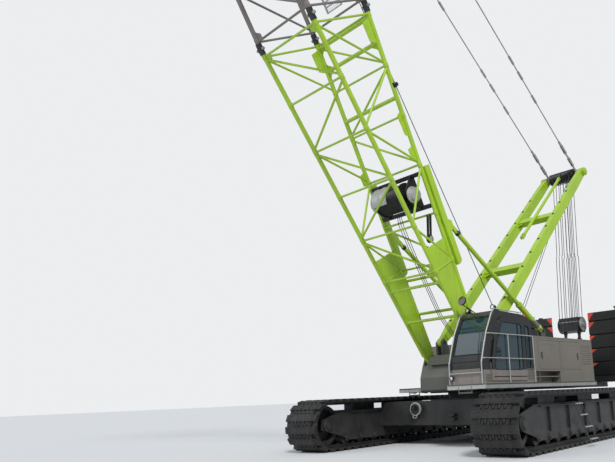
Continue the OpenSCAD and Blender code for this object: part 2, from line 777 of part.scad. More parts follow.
// The opening for the sliding door and its glass, seen from the side
door_shape = [
    [slide_x0, cab_z + 110], [slide_x1 + 160, cab_z + 110], [slide_x1 + 150, cab_z + 560],
    [slide_x1, cab_z + 1150], [slide_x1 - 270, cab_z + 1690], [slide_x1 - 420, cab_z + 1780],
    [slide_x0, cab_z + 1740]];
door_pane = [
    [slide_x0 + 130, cab_z + 420], [slide_x0 + 190, cab_z + 360], [slide_x1 - 10, cab_z + 360],
    [slide_x1 + 40, cab_z + 440], [slide_x1 - 110, cab_z + 1110], [slide_x1 - 360, cab_z + 1620],
    [slide_x1 - 440, cab_z + 1670], [slide_x0 + 190, cab_z + 1650], [slide_x0 + 130, cab_z + 1590]];
rear_pane = [
    [cab_x0 + 130, cab_z + 460], [slide_x0 - 110, cab_z + 440], [slide_x0 - 110, cab_z + 1640],
    [cab_x0 + 170, cab_z + 1600], [cab_x0 + 130, cab_z + 1550]];
// The right side's window, seen from the side
right_pane = [
    [cab_x0 + 300, cab_z + 560], [cab_x1 - 420, cab_z + 560], [cab_x1 - 560, cab_z + 1120],
    [cab_x1 - 860, cab_z + 1660], [cab_x0 + 300, cab_z + 1620]];
// Distance of the front and roof panes from the cab's sides
front_in = 90;
// Height at which the roof is set on the walls
roof_cut = cab_z + 1800;

module cab_shell() {
    y_in = [cab_y0 + cab_t + tiny, cab_y1 - cab_t - tiny];
    z_in = [cab_z + cab_t + tiny, roof_cut - tiny];
    color(black) {
        // Floor and roof
        cab_panel([cab_x0, cab_y0, cab_z], [cab_x1, cab_y1, cab_z + cab_t]);
        cab_panel([cab_x0, cab_y0, roof_cut], [cab_x1, cab_y1, cab_top]);
        // Right side, front and rear
        cab_panel([cab_x0, cab_y0, z_in[0]], [cab_x1, cab_y0 + cab_t, z_in[1]]);
        cab_panel([cab_x1 - 900, y_in[0], z_in[0]], [cab_x1, y_in[1], z_in[1]]);
        cab_panel([cab_x0, y_in[0], z_in[0]], [cab_x0 + 300, y_in[1], z_in[1]]);
    }
}

// The left side with the doorway
module cab_door_wall() {
    color(black) {
        cab_panel([cab_x0, cab_y1 - cab_t, cab_z + cab_t + tiny], [cab_x1, cab_y1, roof_cut - tiny]);
        // Runners on which the door slides
        for (run = [[cab_x0, slide_x1 + 150, cab_z + 74], [cab_x0, slide_x0 - 5, cab_z + 396]])
            block([run[0], cab_y1 - 1, run[2]], [run[1], cab_y1 + slide_gap - tiny, run[2] + 30]);
    }
}

// The part of the cab's walls between two corners
module cab_panel(lo, hi) {
    intersection() {
        cab_walls();
        block(lo, hi);
    }
}

module cab_walls() {
    difference() {
        plate(cab_side(0), cab_y0, cab_y1);
        plate(cab_side(cab_t), cab_y0 + cab_t, cab_y1 - cab_t);
        plate(door_shape, cab_y1 - cab_t - 1, cab_y1 + 1);
        plate(rear_pane, cab_y1 - cab_t - 1, cab_y1 + 1);
        plate(right_pane, cab_y0 - 1, cab_y0 + cab_t + 1);
        cab_windows();
    }
}

// The openings of windscreen, lower pane, rear window and roof window
module cab_windows() {
    plate([[cab_x1 - 200, cab_z + 600], [cab_x1 + 100, cab_z + 600], [cab_x1 + 100, cab_z + 1850],
        [cab_x1 - 700, cab_z + 1850]], cab_y0 + front_in, cab_y1 - front_in);
    block([cab_x1 - 200, cab_y0 + front_in, cab_z + 300], [cab_x1 + 100, cab_y1 - front_in, cab_z + 588]);
    block([cab_x0 - 1, cab_y0 + 200, cab_z + 900], [cab_x0 + cab_t + 1, cab_y1 - 200, cab_z + 1500]);
    block([cab_x0 + 700, cab_y0 + 200, cab_top - 200], [cab_x1 - 900, cab_y1 - 200, cab_top + 10]);
}

// A pane that fills a window's outline, set into the middle of a side wall
module side_pane(outline, y) {
    plate(outline, y - glass_t / 2, y + glass_t / 2);
}

// The windscreen follows the cab's front line, one flat piece between each two points
module cab_glass() {
    color("#26424a", 0.55) {
        side_pane(rear_pane, cab_y1 - cab_t / 2);
        side_pane(right_pane, cab_y0 + cab_t / 2);
        intersection() {
            difference() {
                plate(cab_side(19), cab_y0 + front_in, cab_y1 - front_in);
                plate(cab_side(31), cab_y0 + front_in - 1, cab_y1 - front_in + 1);
            }
            cab_windows();
        }
    }
}

slide_y = cab_y1 + slide_gap;
slide_t = 34;

module cab_door() {
    color(pale) difference() {
        plate([for (p = door_shape) [p[0] + (p[0] > slide_x0 + 10 ? 25 : -25),
            p[1] + (p[1] > cab_z + 200 ? 20 : -40)]],
            slide_y, slide_y + slide_t);
        plate(door_pane, slide_y - 1, slide_y + slide_t + 1);
    }
}

module cab_door_glass() {
    color("#26424a", 0.55) side_pane(door_pane, slide_y + slide_t / 2);
}

module cab_seat() {
    seat_y = (cab_y0 + cab_y1) / 2;
    floor = cab_z + cab_t + tiny;
    color("#2c2d2f") {
        block([1200, seat_y - 250, cab_z + 420], [1720, seat_y + 250, cab_z + 540]);
        plate([[1200, cab_z + 540 + tiny], [1330, cab_z + 540 + tiny], [1200, cab_z + 1180], [1090,
            cab_z + 1180]],
            seat_y - 240, seat_y + 240);
        block([1250, seat_y - 160, floor], [1600, seat_y + 160, cab_z + 421]);
        for (y = [seat_y - 400, seat_y + 270]) block([1250, y, floor], [1800, y + 130, cab_z + 700]);
        block([2300, seat_y - 150, floor], [2420, seat_y + 150, cab_z + 760]);
    }
}

// Handrail beside the cab, clamped to the near grab tube
rail_r = 17;
rail_y = walk_y - 40;
grab_r = 20;
grab_out = 45;
grab_y = [cab_y0 + 25, cab_y1 - 25];
rail_x = [cab_x0 + 90, cab_x0 + 1330];
// X of the cab's front line at a height above its floor, with the tubes' distance
function front_x(h) = lookup(h, [for (i = [0 : 5]) [cab_side(-grab_out)[i][1] - cab_z,
    cab_side(-grab_out)[i][0]]]);
module cab_rails() {
    color(pale) {
        for (x = rail_x) bar([x, rail_y, floor_z + tiny], [x, rail_y, floor_z + rail_h], rail_r);
        for (h = [rail_h / 2, rail_h]) {
            x1 = front_x(h);
            bar([rail_x[0], rail_y, floor_z + h], [x1 + rail_r, rail_y, floor_z + h], rail_r - 1);
            bar([x1, rail_y, floor_z + h], [x1, grab_y[1] + grab_r + tiny, floor_z + h], rail_r);
        }
    }
}

// Height of the roof's top at a place along it
function roof_at(x) = cab_top - 40 * (cab_x1 - 700 - x) / (cab_x1 - 1200 - cab_x0);

// Grab tubes along the cab's front edges and the roof's edges
module cab_grabs() {
    line = cab_side(-grab_out);
    low = [line[0][0], cab_z + 290];
    color(pale) {
        for (y = grab_y) {
            bar([line[0][0], y, floor_z + tiny], [line[1][0], y, line[1][1]], grab_r);
            for (i = [1 : 4]) {
                bar([line[i][0], y, line[i][1]], [line[i + 1][0], y, line[i + 1][1]], grab_r);
                translate([line[i][0], y, line[i][1]]) sphere(r = grab_r + 4, $fn = coarse);
            }
            // Tube along the roof's edge on two short feet
            bar([line[5][0] - grab_r, y, line[5][1] - 2], [cab_x0 + 520, y, cab_top + 12], grab_r - 3);
            for (x = [cab_x1 - 900, cab_x0 + 620]) bar([x, y, roof_at(x) + 1], [x, y, cab_top + 20],
                grab_r - 6);
        }
        bar([low[0], grab_y[0], low[1]], [low[0], grab_y[1], low[1]], grab_r - 3);
    }
}

module cab_fittings() {
    roof_x = cab_x1 - 700;
    roof_z = cab_top + tiny;
    mirror_y = cab_y0 + 295;
    color(black) {
        // A bar across the roof's front carries the lamps and the mirror's arm
        block([roof_x - 260, cab_y0 + 55, roof_at(roof_x - 200) + tiny], [roof_x - 200, cab_y1 - 55,
            roof_z + 30]);
        for (y = [cab_y0 + 130, cab_y1 - 130]) {
            block([roof_x - 260, y - 40, roof_at(roof_x - 120) + tiny], [roof_x - 120, y + 40, roof_z + 60]);
            translate([roof_x - 130, y, roof_z + 90]) rotate([0, 80, 0]) cylinder(r = 70, h = 90,
                $fn = coarse);
        }
        bar([roof_x - 230, mirror_y, roof_z + 20], [roof_x + 350, mirror_y, roof_z + 230], 14);
        bar([roof_x + 350, mirror_y, roof_z + 222], [roof_x + 350, mirror_y, roof_z + 340], 14);
        translate([roof_x + 340, mirror_y, roof_z + 330]) rotate([0, 78, 0]) cylinder(r = 130, h = 40,
            $fn = fine);
    }
}

// Winches

module winch_stands() {
    color(black) for (x = [main_drum_x, second_drum_x, boom_drum_x], s = [-1, 1])
        difference() {
            plate([[x - 380, girder_top + tiny], [x + 380, girder_top + tiny], [x + 150, drum_z + 60],
                [x, drum_z + 150], [x - 150, drum_z + 60]],
                s * 745 - 25, s * 745 + 25);
            shaft(x, drum_z, 70 + tiny, s * 745 - 60, s * 745 + 60);
        }
}

// A drum with its rope layer, flanges and shaft ends
module drum(x, z, r, l, end) {
    wheel(x, z, [[0, -end], [70, -end], [70, -l / 2 - flange_t], [r + 90, -l / 2 - flange_t],
        [r + 90, -l / 2], [r, -l / 2], [r, l / 2], [r + 90, l / 2], [r + 90, l / 2 + flange_t],
        [70, l / 2 + flange_t], [70, end], [0, end]]);
}

module main_drum() color(steel) drum(main_drum_x, drum_z, drum_r, drum_len, 770);
module second_drum() color(steel) drum(second_drum_x, drum_z, drum_r, drum_len, 770);
module boom_hoist_drum() color(steel) drum(boom_drum_x, drum_z, drum_r, drum_len, 770);

// Counterweight

module weight_tray() {
    color(house_grey) {
        block([weight_x0 - 20, -weight_y1, weight_z0 - 220], [weight_x1 + 60,
            -girder_y - girder_w / 2 - tiny, weight_z0 - tiny]);
        block([weight_x0 - 20, girder_y + girder_w / 2 + tiny, weight_z0 - 220], [weight_x1 + 60,
            weight_y1, weight_z0 - tiny]);
    }
}

// One slab with chamfered edges, a slanting inner side and a recess outside
module slab(z, h) {
    c = 30;
    mid_x = (weight_x0 + weight_x1) / 2;
    translate([0, 0, z]) difference() {
        intersection() {
            plate([[weight_x0, c], [weight_x0 + c, 0], [weight_x1 - c, 0], [weight_x1, c],
                [weight_x1, h - c], [weight_x1 - c, h], [weight_x0 + c, h], [weight_x0, h - c]],
                weight_y0, weight_y1);
            translate([0, 0, -1]) linear_extrude(h + 2) polygon([[weight_x1 + 1, weight_y0],
                [weight_x1 + 1, weight_y1 + 1], [weight_x0 - 1, weight_y1 + 1], [weight_x0 - 1,
                    weight_y0 + weight_lean]]);
        }
        block([mid_x - 200, weight_y1 - 60, h / 2 - 90], [mid_x + 200, weight_y1 + 1, h / 2 + 90]);
    }
}

module weights() {
    color(black) {
        for (i = [0 : slab_count - 1]) slab(weight_z0 + i * (slab_h + slab_gap), slab_h);
        slab(weight_z0 + slab_count * (slab_h + slab_gap), top_slab_h);
        for (x = [weight_x0 + 250, weight_x1 - 250]) translate([x, (weight_y0 + weight_y1) / 2, slab_top])
            cylinder(r = 60, h = 150, $fn = fine);
    }
}

module weights_left() weights();
module weights_right() mirror([0, 1, 0]) weights();

// Boom hoist fall

// The fall's own frame: from the link pin straight towards the mast head
module on_fall() {
    translate([block_x, 0, block_z]) rotate([0, fall_lean, 0]) children();
}

high_gap = 44;
low_gap = high_gap + part_pitch / 2;
parts_a_side = floor(parts_of_line / 2);
// Places of the rope parts across, from a gap on both sides of the middle
function part_ys(gap) = [for (s = [-1, 1], i = [0 : parts_a_side - 1]) s * (gap + i * part_pitch)];
fall_half = low_gap + (parts_a_side - 1) * part_pitch;
block_half = 270;
block_top = block_rise + block_half;
// The ropes leave the head sheaves at the bottom of their grooves
groove = 0.3;
mast_sheave_w = part_pitch - 1;
fall_x = mast_sheave_r - mast_sheave_w * groove + rope_r + 0.5;

module fall_block() {
    half = fall_half + rope_r + 8;
    color(black) on_fall() difference() {
        union() {
            block([-fall_x - 30, -half, block_rise - block_half], [fall_x + 30, half, block_top]);
            for (s = [-1, 1]) translate([0, s * (half + 25) + 25, block_rise]) rotate([90, 0, 0])
                cylinder(r = block_r, h = 50, $fn = fine);
            for (s = [-1, 1]) block([-70, s * link_y - link_w2 / 2, -90],
                [70, s * link_y + link_w2 / 2, block_rise - block_half + 5]);
        }
        shaft(0, 0, link_pin_r + tiny, -500, 500);
    }
}

// Rope parts between two heights of the fall
module fall_parts(z0, z1, gap) {
    for (i = [0 : 2 * parts_a_side - 1]) {
        y = part_ys(gap)[i];
        x = i % 2 == 0 ? -fall_x : fall_x;
        bar([x, y, z0], [x, y, z1], rope_r, 16);
    }
}

module fall_low() color(steel) on_fall() fall_parts(block_top + tiny, block_top + low_fall, low_gap);
module fall_high() color(steel) on_fall() fall_parts(block_top + low_fall, fall_len, high_gap);

// Mast

leg_n0 = -leg_d / 2;

// A leg from foot boss to head, seen in the mast's own frame
function leg_outline() = [
    [250, -120], [700, leg_n0], [mast_len - 900, leg_n0], [mast_len + 60, -150],
    [mast_len + 60, 150], [mast_len - 900, leg_d / 2], [700, leg_d / 2], [250, 120]];

// Y of a leg's middle at a place along the mast
function leg_y(s) = (mast_w0 + (mast_w1 - mast_w0) * s / mast_len) / 2;
leg_splay = atan((mast_w0 - mast_w1) / 2 / mast_len);
beam_n = 110;
mast_beams = [mast_len * 0.357, mast_len * 0.675];
head_shaft_r = 70;
whip_w = 80;
strut_r = 60;

module mast_frame() {
    color(lime) difference() {
        on_mast_frame() {
            both_sides() translate([0, mast_w0 / 2, 0]) rotate([0, 0, -leg_splay]) {
                plate(leg_outline(), -leg_w / 2, leg_w / 2);
                plate([[0, -130], [330, -130], [330, 130], [0, 130]], -mast_boss_w / 2, mast_boss_w / 2);
                shaft(0, 0, 130, -mast_boss_w / 2, mast_boss_w / 2);
                shaft(mast_len, 0, 170, -leg_w / 2, leg_w / 2 + 70);
            }
            // Cross beams
            for (s = mast_beams) block([s - 130, -leg_y(s), -beam_n], [s + 130, leg_y(s), beam_n]);
            // Head shaft
            shaft(mast_len, 0, head_shaft_r, -leg_y(mast_len), leg_y(mast_len));
        }
        translate(mast_foot) shaft(0, 0, mast_pin_r + tiny, -2000, 2000);
    }
}

module mast_sheaves() {
    bore = head_shaft_r + tiny;
    color(black) on_mast_frame() {
        for (y = part_ys(high_gap)) wheel(mast_len, 0, sheave_profile(mast_sheave_r, mast_sheave_w, bore,
            y));
        // Wider sheaves for the auxiliary ropes at both ends
        for (s = [-1, 1], i = [0, 1])
            wheel(mast_len, 0, sheave_profile(mast_sheave_r, whip_w, bore,
                s * (fall_half + 45 + i * (whip_w + 2))));
    }
}

// The lifting strut that lies between the legs
module mast_strut() {
    n = -beam_n - strut_r - tiny;
    s1 = mast_len - 500;
    s0 = s1 - strut_len;
    color(lime) on_mast_frame() {
        bar([s0, 0, n], [s1, 0, n], strut_r);
        for (y = [-45, 45]) block([s0 - 250, y - 15, n - strut_r], [s0 + 20, y + 15, n + strut_r]);
        block([s1 - 20, -40, n - strut_r], [s1 + 160, 40, n + strut_r]);
    }
}

// Pendants

// Places of the rod couplings along a pendant from the mast head
couplings = [1500, 3800, 4900, 5600, 8600, 17200, 25600];
// Middles of the pendant eyes across at the mast head and at the boom head
eye_w = 60;
pendant_y0 = 655;
pendant_y1 = head_w / 2 + 20 + 45 + eye_w / 2 + tiny;
// The chain of link plates that starts each pendant
chain_link = 330;
chain_count = 4;

module pendants() {
    color(steel) both_sides() {
        a = [pendant_a[0], pendant_y0, pendant_a[2]];
        b = [pendant_b[0], pendant_y1, pendant_b[2]];
        u = (b - a) / norm(b - a);
        lean = -atan2(b[2] - a[2], b[0] - a[0]);
        difference() {
            shaft(a[0], a[2], 130, a[1] - eye_w / 2, a[1] + eye_w / 2);
            shaft(a[0], a[2], head_shaft_r + tiny, a[1] - eye_w, a[1] + eye_w);
        }
        for (i = [0 : chain_count - 1]) translate(a + u * (100 + i * chain_link)) rotate([0, lean, 0])
            for (d = i % 2 == 0 ? [0] : [-30, 30]) block([-20, d - 12, -55], [chain_link + 60, d + 12, 55]);
        for (i = [1 : chain_count]) translate(a + u * (120 + i * chain_link)) rotate([90, 0, 0])
            translate([0, 0, -60]) cylinder(r = 34, h = 120, $fn = coarse);
        bar(a + u * (chain_count * chain_link + 60), b - u * 200, 22, 16);
        for (c = couplings) bar(a + u * (c - 180), a + u * (c + 180), 46);
        shaft(b[0], b[2], 80, b[1] - eye_w / 2, b[1] + eye_w / 2);
        translate(b) rotate([0, lean, 0]) block([-240, -eye_w / 2 + 6, -52], [0, eye_w / 2 - 6, 52]);
        bar(b - u * 480, b - u * 200, 46);
    }
}

// Backstops

module on_stop() {
    translate(stop_foot) rotate([0, 90 - stop_angle, 0]) children();
}

module stop_sleeves() {
    rod_r = 40;
    color(house_grey) difference() {
        on_stop() for (s = [-1, 1]) translate([0, s * stop_y, 0]) {
            difference() {
                union() {
                    translate([0, 0, 130]) cylinder(r = sleeve_r, h = sleeve_len, $fn = fine);
                    translate([-70, -stop_eye_w / 2, 0]) cube([140, stop_eye_w, 180]);
                    translate([0, stop_eye_w / 2, 0]) rotate([90, 0, 0]) cylinder(r = 85, h = stop_eye_w,
                        $fn = fine);
                }
                translate([0, 0, 200]) cylinder(r = stop_r + tiny, h = sleeve_len, $fn = fine);
            }
            translate([0, 0, 190]) cylinder(r = rod_r, h = stop_rod_len, $fn = coarse);
        }
        shaft(stop_x, stop_z, stop_pin_r + tiny, -2000, 2000);
    }
}

module stop_tubes() {
    tube_z0 = 130 + sleeve_len - 110;
    neck_l = 380;
    color(lime) on_stop() for (s = [-1, 1]) translate([0, s * stop_y, 0]) difference() {
        union() {
            translate([0, 0, tube_z0]) cylinder(r = stop_r, h = stop_reach - tube_z0 - neck_l, $fn = fine);
            translate([-60, -stop_eye_w / 2, stop_reach - neck_l - 1]) cube([120, stop_eye_w, neck_l + 1]);
            translate([0, stop_eye_w / 2, stop_reach]) rotate([90, 0, 0]) cylinder(r = 75,
                h = stop_eye_w, $fn = fine);
        }
        translate([0, 0, tube_z0 - 1]) cylinder(r = 44, h = stop_rod_len + 100, $fn = coarse);
    }
}

// Boom

// Half width and half depth of a section that tapers from s0 to s1
function taper(s, s0, s1, a, b) = (a + (b - a) * (s - s0) / (s1 - s0)) / 2;

// A point on chord y, n of a section with columns s0, s1, w0, w1, d0, d1
function chord_point(sec, s, y, n) = [
    s, y * taper(s, sec[0], sec[1], sec[2], sec[3]), n * taper(s, sec[0], sec[1], sec[4], sec[5])];

butt = [0, butt_len, foot_w, boom_w, foot_d, boom_d];
insert = [insert_s, top_s, boom_w, boom_w, boom_d, boom_d];
top = [top_s, head_s, boom_w, head_w, boom_d, head_d];

// Places of the lacing's nodes between two ends, about a bay apart
function even_places(s0, s1) = let (bays = round((s1 - s0) / bay))
    [for (i = [0 : bays]) s0 + i * (s1 - s0) / bays];

// Chords of a section and its lacing from node to node; the open bay has no
// diagonal on its upper face
module lattice(sec, chord_s0, chord_s1, places, open_bay = -1) {
    last = len(places) - 1;
    trim = 70;
    for (y = [-1, 1], n = [-1, 1])
        bar(chord_point(sec, chord_s0, y, n), chord_point(sec, chord_s1, y, n), chord_r);
    for (i = [0 : last]) {
        s = places[i];
        for (n = [-1, 1]) bar(chord_point(sec, s, -1, n), chord_point(sec, s, 1, n), lace_r, 16);
        if (i == 0 || i == last)
            for (y = [-1, 1]) bar(chord_point(sec, s, y, -1), chord_point(sec, s, y, 1), lace_r, 16);
    }
    for (i = [0 : last - 1]) {
        a = places[i] + trim;
        b = places[i + 1] - trim;
        k = i % 2 == 0 ? 1 : -1;
        for (n = i == open_bay ? [-1] : [-1, 1])
            bar(chord_point(sec, a, k, n), chord_point(sec, b, -k, n), lace_r, 16);
        for (y = [-1, 1]) bar(chord_point(sec, a, y, k), chord_point(sec, b, y, -k), lace_r, 16);
    }
}

pin_half = 150;
rail_t = 14;
rail_gap = 100;

// The channel on an upper chord in which the backstop's eye is held
module stop_rail() {
    function rail_n(s) = taper(s, 0, butt_len, foot_d, boom_d) + chord_r - 8;
    inner = stop_y - rail_gap / 2;
    outer = stop_y + rail_gap / 2;
    plate([[rail_s0, rail_n(rail_s0)], [rail_s1, rail_n(rail_s1)], [rail_s1, rail_n(rail_s1) + rail_t],
        [rail_s0, rail_n(rail_s0) + rail_t]], inner - rail_t, outer + rail_t);
    for (y = [inner - rail_t, outer]) {
        plate([[rail_s0, rail_n(rail_s0)], [rail_s1, rail_n(rail_s1)], [rail_s1, rail_n(rail_s1) + rail_d],
            [rail_s0 + 60, rail_n(rail_s0) + rail_d], [rail_s0, rail_n(rail_s0) + rail_d - 90]], y,
                y + rail_t);
        plate([[stop_s - 330, rail_n(stop_s)], [stop_s + 330, rail_n(stop_s)],
            [stop_s + 90, stop_n + 70], [stop_s - 90, stop_n + 70]], y, y + rail_t);
    }
}

module boom_butt() {
    p0 = foot_d / 2;
    p1 = taper(plate_len, 0, butt_len, foot_d, boom_d);
    color(lime) on_boom_frame() difference() {
        union() {
            // The open bay lies round the winch
            lattice(butt, 260, butt_len - pin_half, concat([lace_s0, boom_winch_s - bay / 2],
                even_places(boom_winch_s + bay / 2, butt_len - pin_half - 60)), open_bay = 1);
            // Thick cross tubes on the upper side
            for (s = [boom_winch_s + 2700, butt_len - 1000, butt_len - 300])
                bar(chord_point(butt, s, -1, 1), chord_point(butt, s, 1, 1), chord_r - 6);
            both_sides() translate([0, foot_w / 2, 0]) rotate([0, 0,
                atan((boom_w - foot_w) / 2 / butt_len)]) {
                plate([[150, -p0 - 20], [plate_len, -p1 + 10], [plate_len, p1 - 10], [150, p0 + 20]],
                    -plate_t / 2, plate_t / 2);
                plate([[0, -165], [420, -p0 - 40], [420, p0 + 40], [0, 165]], -boss_w / 2, boss_w / 2);
                shaft(0, 0, 165, -boss_w / 2, boss_w / 2);
            }
            for (s = [1480, 2600], n = [-1, 1])
                bar(chord_point(butt, s, -1, n), chord_point(butt, s, 1, n), lace_r + 12);
            both_sides() stop_rail();
        }
        shaft(0, 0, foot_pin_r + tiny, -1300, 1300);
    }
}

module boom_insert() {
    color("#9a9c96") on_boom_frame() lattice(insert, insert_s + pin_half, top_s - pin_half,
        even_places(insert_s + pin_half + 60, top_s - pin_half - 60));
}

module boom_top() {
    ear = 45;
    color(lime) on_boom_frame() difference() {
        union() {
            lattice(top, top_s + pin_half, head_s, even_places(top_s + pin_half + 60, head_s - 60));
            // Head plates that carry the sheaves
            both_sides() {
                plate([[head_s - 600, -head_d / 2 - 110], [tip_s - 180, tip_n - 60], [tip_s, tip_n - 170],
                    [tip_s + 190, tip_n], [head_s + 560, -250], [pendant_s + 170, pendant_n - 60],
                    [pendant_s + 60, pendant_n + 130], [pendant_s - 120, pendant_n + 110], [head_s - 600,
                        head_d / 2 + 110]],
                    head_w / 2 - 20, head_w / 2 + 20);
                shaft(pendant_s, pendant_n, 110, head_w / 2, head_w / 2 + 20 + ear);
            }
            shaft(tip_s, tip_n, tip_shaft_r, -head_w / 2 - 60, head_w / 2 + 60);
            for (n = [-250, 300]) shaft(head_s + 350, n, 50, -head_w / 2, head_w / 2);
            shaft(pendant_s, pendant_n, 60, -head_w / 2, head_w / 2);
        }
        // Holes for a jib's foot pins
        shaft(jib_s, jib_n, jib_r, -head_w, head_w);
    }
}

// The dark pin joints between two sections
module boom_pins() {
    pin_r = chord_r + 22;
    collar_r = pin_r + 12;
    collar_l = 36;
    color(steel) on_boom_frame() for (y = [-1, 1], n = [-1, 1]) {
        for (joint = [[butt, insert, insert_s], [insert, top, top_s]]) {
            s = joint[2];
            bar(chord_point(joint[0], s - pin_half + tiny, y, n), chord_point(joint[0], s - 6, y, n), pin_r);
            bar(chord_point(joint[1], s + 6, y, n), chord_point(joint[1], s + pin_half - tiny, y, n), pin_r);
            translate(chord_point(joint[0], s, y, n) - [collar_l / 2, 0, 0]) rotate([0, 90, 0])
                cylinder(r = collar_r, h = collar_l, $fn = coarse);
        }
    }
}

// Box rails along the upper chords and the mesh walkway on the insert
module boom_walkway() {
    // Grating between two edge angles on the middle section's upper side
    s0 = insert_s + 420;
    s1 = top_s - 420;
    half = 300;
    n = boom_d / 2 + lace_r + tiny;
    color(pale) on_boom_frame() {
        for (y = [-half, half]) block([s0, y - 20, n], [s1, y + 20, n + 50]);
        for (s = [s0 : 150 : s1]) block([s, -half, n], [s + 30, half, n + 30]);
    }
}

// The winch inside the boom's foot section
module boom_winch_frame() {
    span = bay / 3;
    cheek_y = 650;
    color(black) on_boom_frame() {
        for (d = [-span, span]) {
            s = boom_winch_s + d;
            n = taper(s - 60, 0, butt_len, foot_d, boom_d);
            y = taper(s - 60, 0, butt_len, foot_w, boom_w) - chord_r - tiny;
            block([s - 60, -y, n - 60], [s + 60, y, n + 60]);
        }
        for (y = [-cheek_y, cheek_y]) difference() {
            plate([[boom_winch_s - span - 60, taper(boom_winch_s - span, 0, butt_len, foot_d, boom_d) - 50],
                [boom_winch_s - 200, boom_winch_n - 180], [boom_winch_s + 200, boom_winch_n - 180],
                [boom_winch_s + span + 60, taper(boom_winch_s + span, 0, butt_len, foot_d, boom_d) - 50],
                [boom_winch_s + span + 60, taper(boom_winch_s + span, 0, butt_len, foot_d, boom_d) + 60],
                [boom_winch_s - span - 60, taper(boom_winch_s - span, 0, butt_len, foot_d, boom_d) + 60]],
                y - 25, y + 25);
            shaft(boom_winch_s, boom_winch_n, 70 + tiny, y - 60, y + 60);
        }
    }
}

module boom_winch_drum() {
    color(steel) on_boom_frame() drum(boom_winch_s, boom_winch_n, boom_winch_r, drum_len, 675);
}

module tip_sheaves() {
    color(black) on_boom_frame() for (i = [-1 : 1])
        wheel(tip_s, tip_n, sheave_profile(tip_r, hook_sheave_w, tip_shaft_r + tiny, i * hook_sheave_pitch));
}

// Hook

hook_x = tip_axis[0];
hook_z = tip_axis[2] - hook_drop;
hook_sheave_w = 90;
hook_sheave_pitch = 110;
hook_shaft_r = 60;

module hook_ropes() {
    // The ropes run from groove to groove, 0.5 mm off the sheaves
    off = rope_r + 0.5 - hook_sheave_w * groove;
    color(steel) for (i = [-1 : 1], d = [-1, 1]) bar(
        [hook_x + d * (hook_sheave_r + off), i * hook_sheave_pitch, hook_z],
        [tip_axis[0] + d * (tip_r + off), i * hook_sheave_pitch, tip_axis[2]], rope_r, 16);
}

module hook_block() {
    color(lime) {
        for (y = [-230, 230]) plate([[hook_x - 240, hook_z - 560], [hook_x + 240, hook_z - 560],
            [hook_x + 380, hook_z + 60],
            [hook_x + 160, hook_z + 380], [hook_x - 160, hook_z + 380], [hook_x - 380, hook_z + 60]],
            y - 30, y + 30);
        block([hook_x - 220, -260, hook_z - 660], [hook_x + 220, 260, hook_z - 559]);
        for (i = [-1 : 1])
            wheel(hook_x, hook_z, sheave_profile(hook_sheave_r, hook_sheave_w, 0, i * hook_sheave_pitch));
        shaft(hook_x, hook_z, hook_shaft_r, -260, 260);
    }
}

module hook() {
    hook_top = hook_z - 660;
    mouth_z = hook_top - 420;
    color(steel) {
        translate([hook_x, 0, hook_top - 250]) cylinder(r = 60, h = 250 - ring_gap, $fn = fine);
        translate([hook_x, 0, mouth_z]) rotate([90, 0, 0]) rotate([0, 0, 90])
            rotate_extrude(angle = -250, $fn = 64) translate([hook_mouth_r + hook_bar_r,
                0]) circle(r = hook_bar_r, $fn = 32);
        translate([hook_x, 0, mouth_z + hook_mouth_r + hook_bar_r - 30]) cylinder(r = hook_bar_r, h = 90,
            $fn = fine);
    }
}

carbody();
jack_feet();
track_frame_left();
track_frame_right();
track_left();
track_right();
rollers_left();
rollers_right();
idlers();
sprockets();
deck_frame();
front_box();
deck_posts();
pivot_pins();
catwalk_left();
catwalk_right();
house_left();
house_right();
door_left_front();
door_left_rear();
door_right_front();
door_right_rear();
cab_shell();
cab_door_wall();
cab_glass();
cab_door();
cab_door_glass();
cab_seat();
cab_rails();
cab_grabs();
cab_fittings();
winch_stands();
main_drum();
second_drum();
boom_hoist_drum();
weight_tray();
weights_left();
weights_right();
fall_block();
fall_low();
fall_high();
mast_frame();
mast_sheaves();
mast_strut();
pendants();
stop_sleeves();
stop_tubes();
boom_butt();
boom_insert();
boom_top();
boom_pins();
boom_walkway();
boom_winch_frame();
boom_winch_drum();
tip_sheaves();
hook_ropes();
hook_block();
hook();
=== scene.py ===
"""Looks of a crawler crane with a lattice boom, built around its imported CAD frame.

Everything is in the frame of the CAD: +X along the boom, +Y to the cab side, +Z up, the
origin on the slewing axis at ground level.
"""
import json
from math import atan2, cos, degrees, pi, radians, sin

import bpy
import numpy as np
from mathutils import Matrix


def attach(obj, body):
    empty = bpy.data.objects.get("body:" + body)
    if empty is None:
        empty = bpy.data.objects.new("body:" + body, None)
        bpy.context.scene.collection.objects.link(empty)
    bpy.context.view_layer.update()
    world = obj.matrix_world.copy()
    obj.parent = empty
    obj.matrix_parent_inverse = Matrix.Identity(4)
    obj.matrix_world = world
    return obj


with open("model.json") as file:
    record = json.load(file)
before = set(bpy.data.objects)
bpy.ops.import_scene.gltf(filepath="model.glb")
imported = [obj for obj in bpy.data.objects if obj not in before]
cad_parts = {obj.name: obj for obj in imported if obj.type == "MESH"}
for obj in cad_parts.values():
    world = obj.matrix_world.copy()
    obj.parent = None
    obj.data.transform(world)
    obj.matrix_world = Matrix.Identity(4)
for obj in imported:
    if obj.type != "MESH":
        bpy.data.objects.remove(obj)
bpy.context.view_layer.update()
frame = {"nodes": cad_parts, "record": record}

X, Y, Z = np.eye(3)


def unit(v):
    """A vector divided by its length, or an array of vectors, each divided by its own."""
    v = np.asarray(v, float)
    return v / np.linalg.norm(v, axis=-1, keepdims=True)


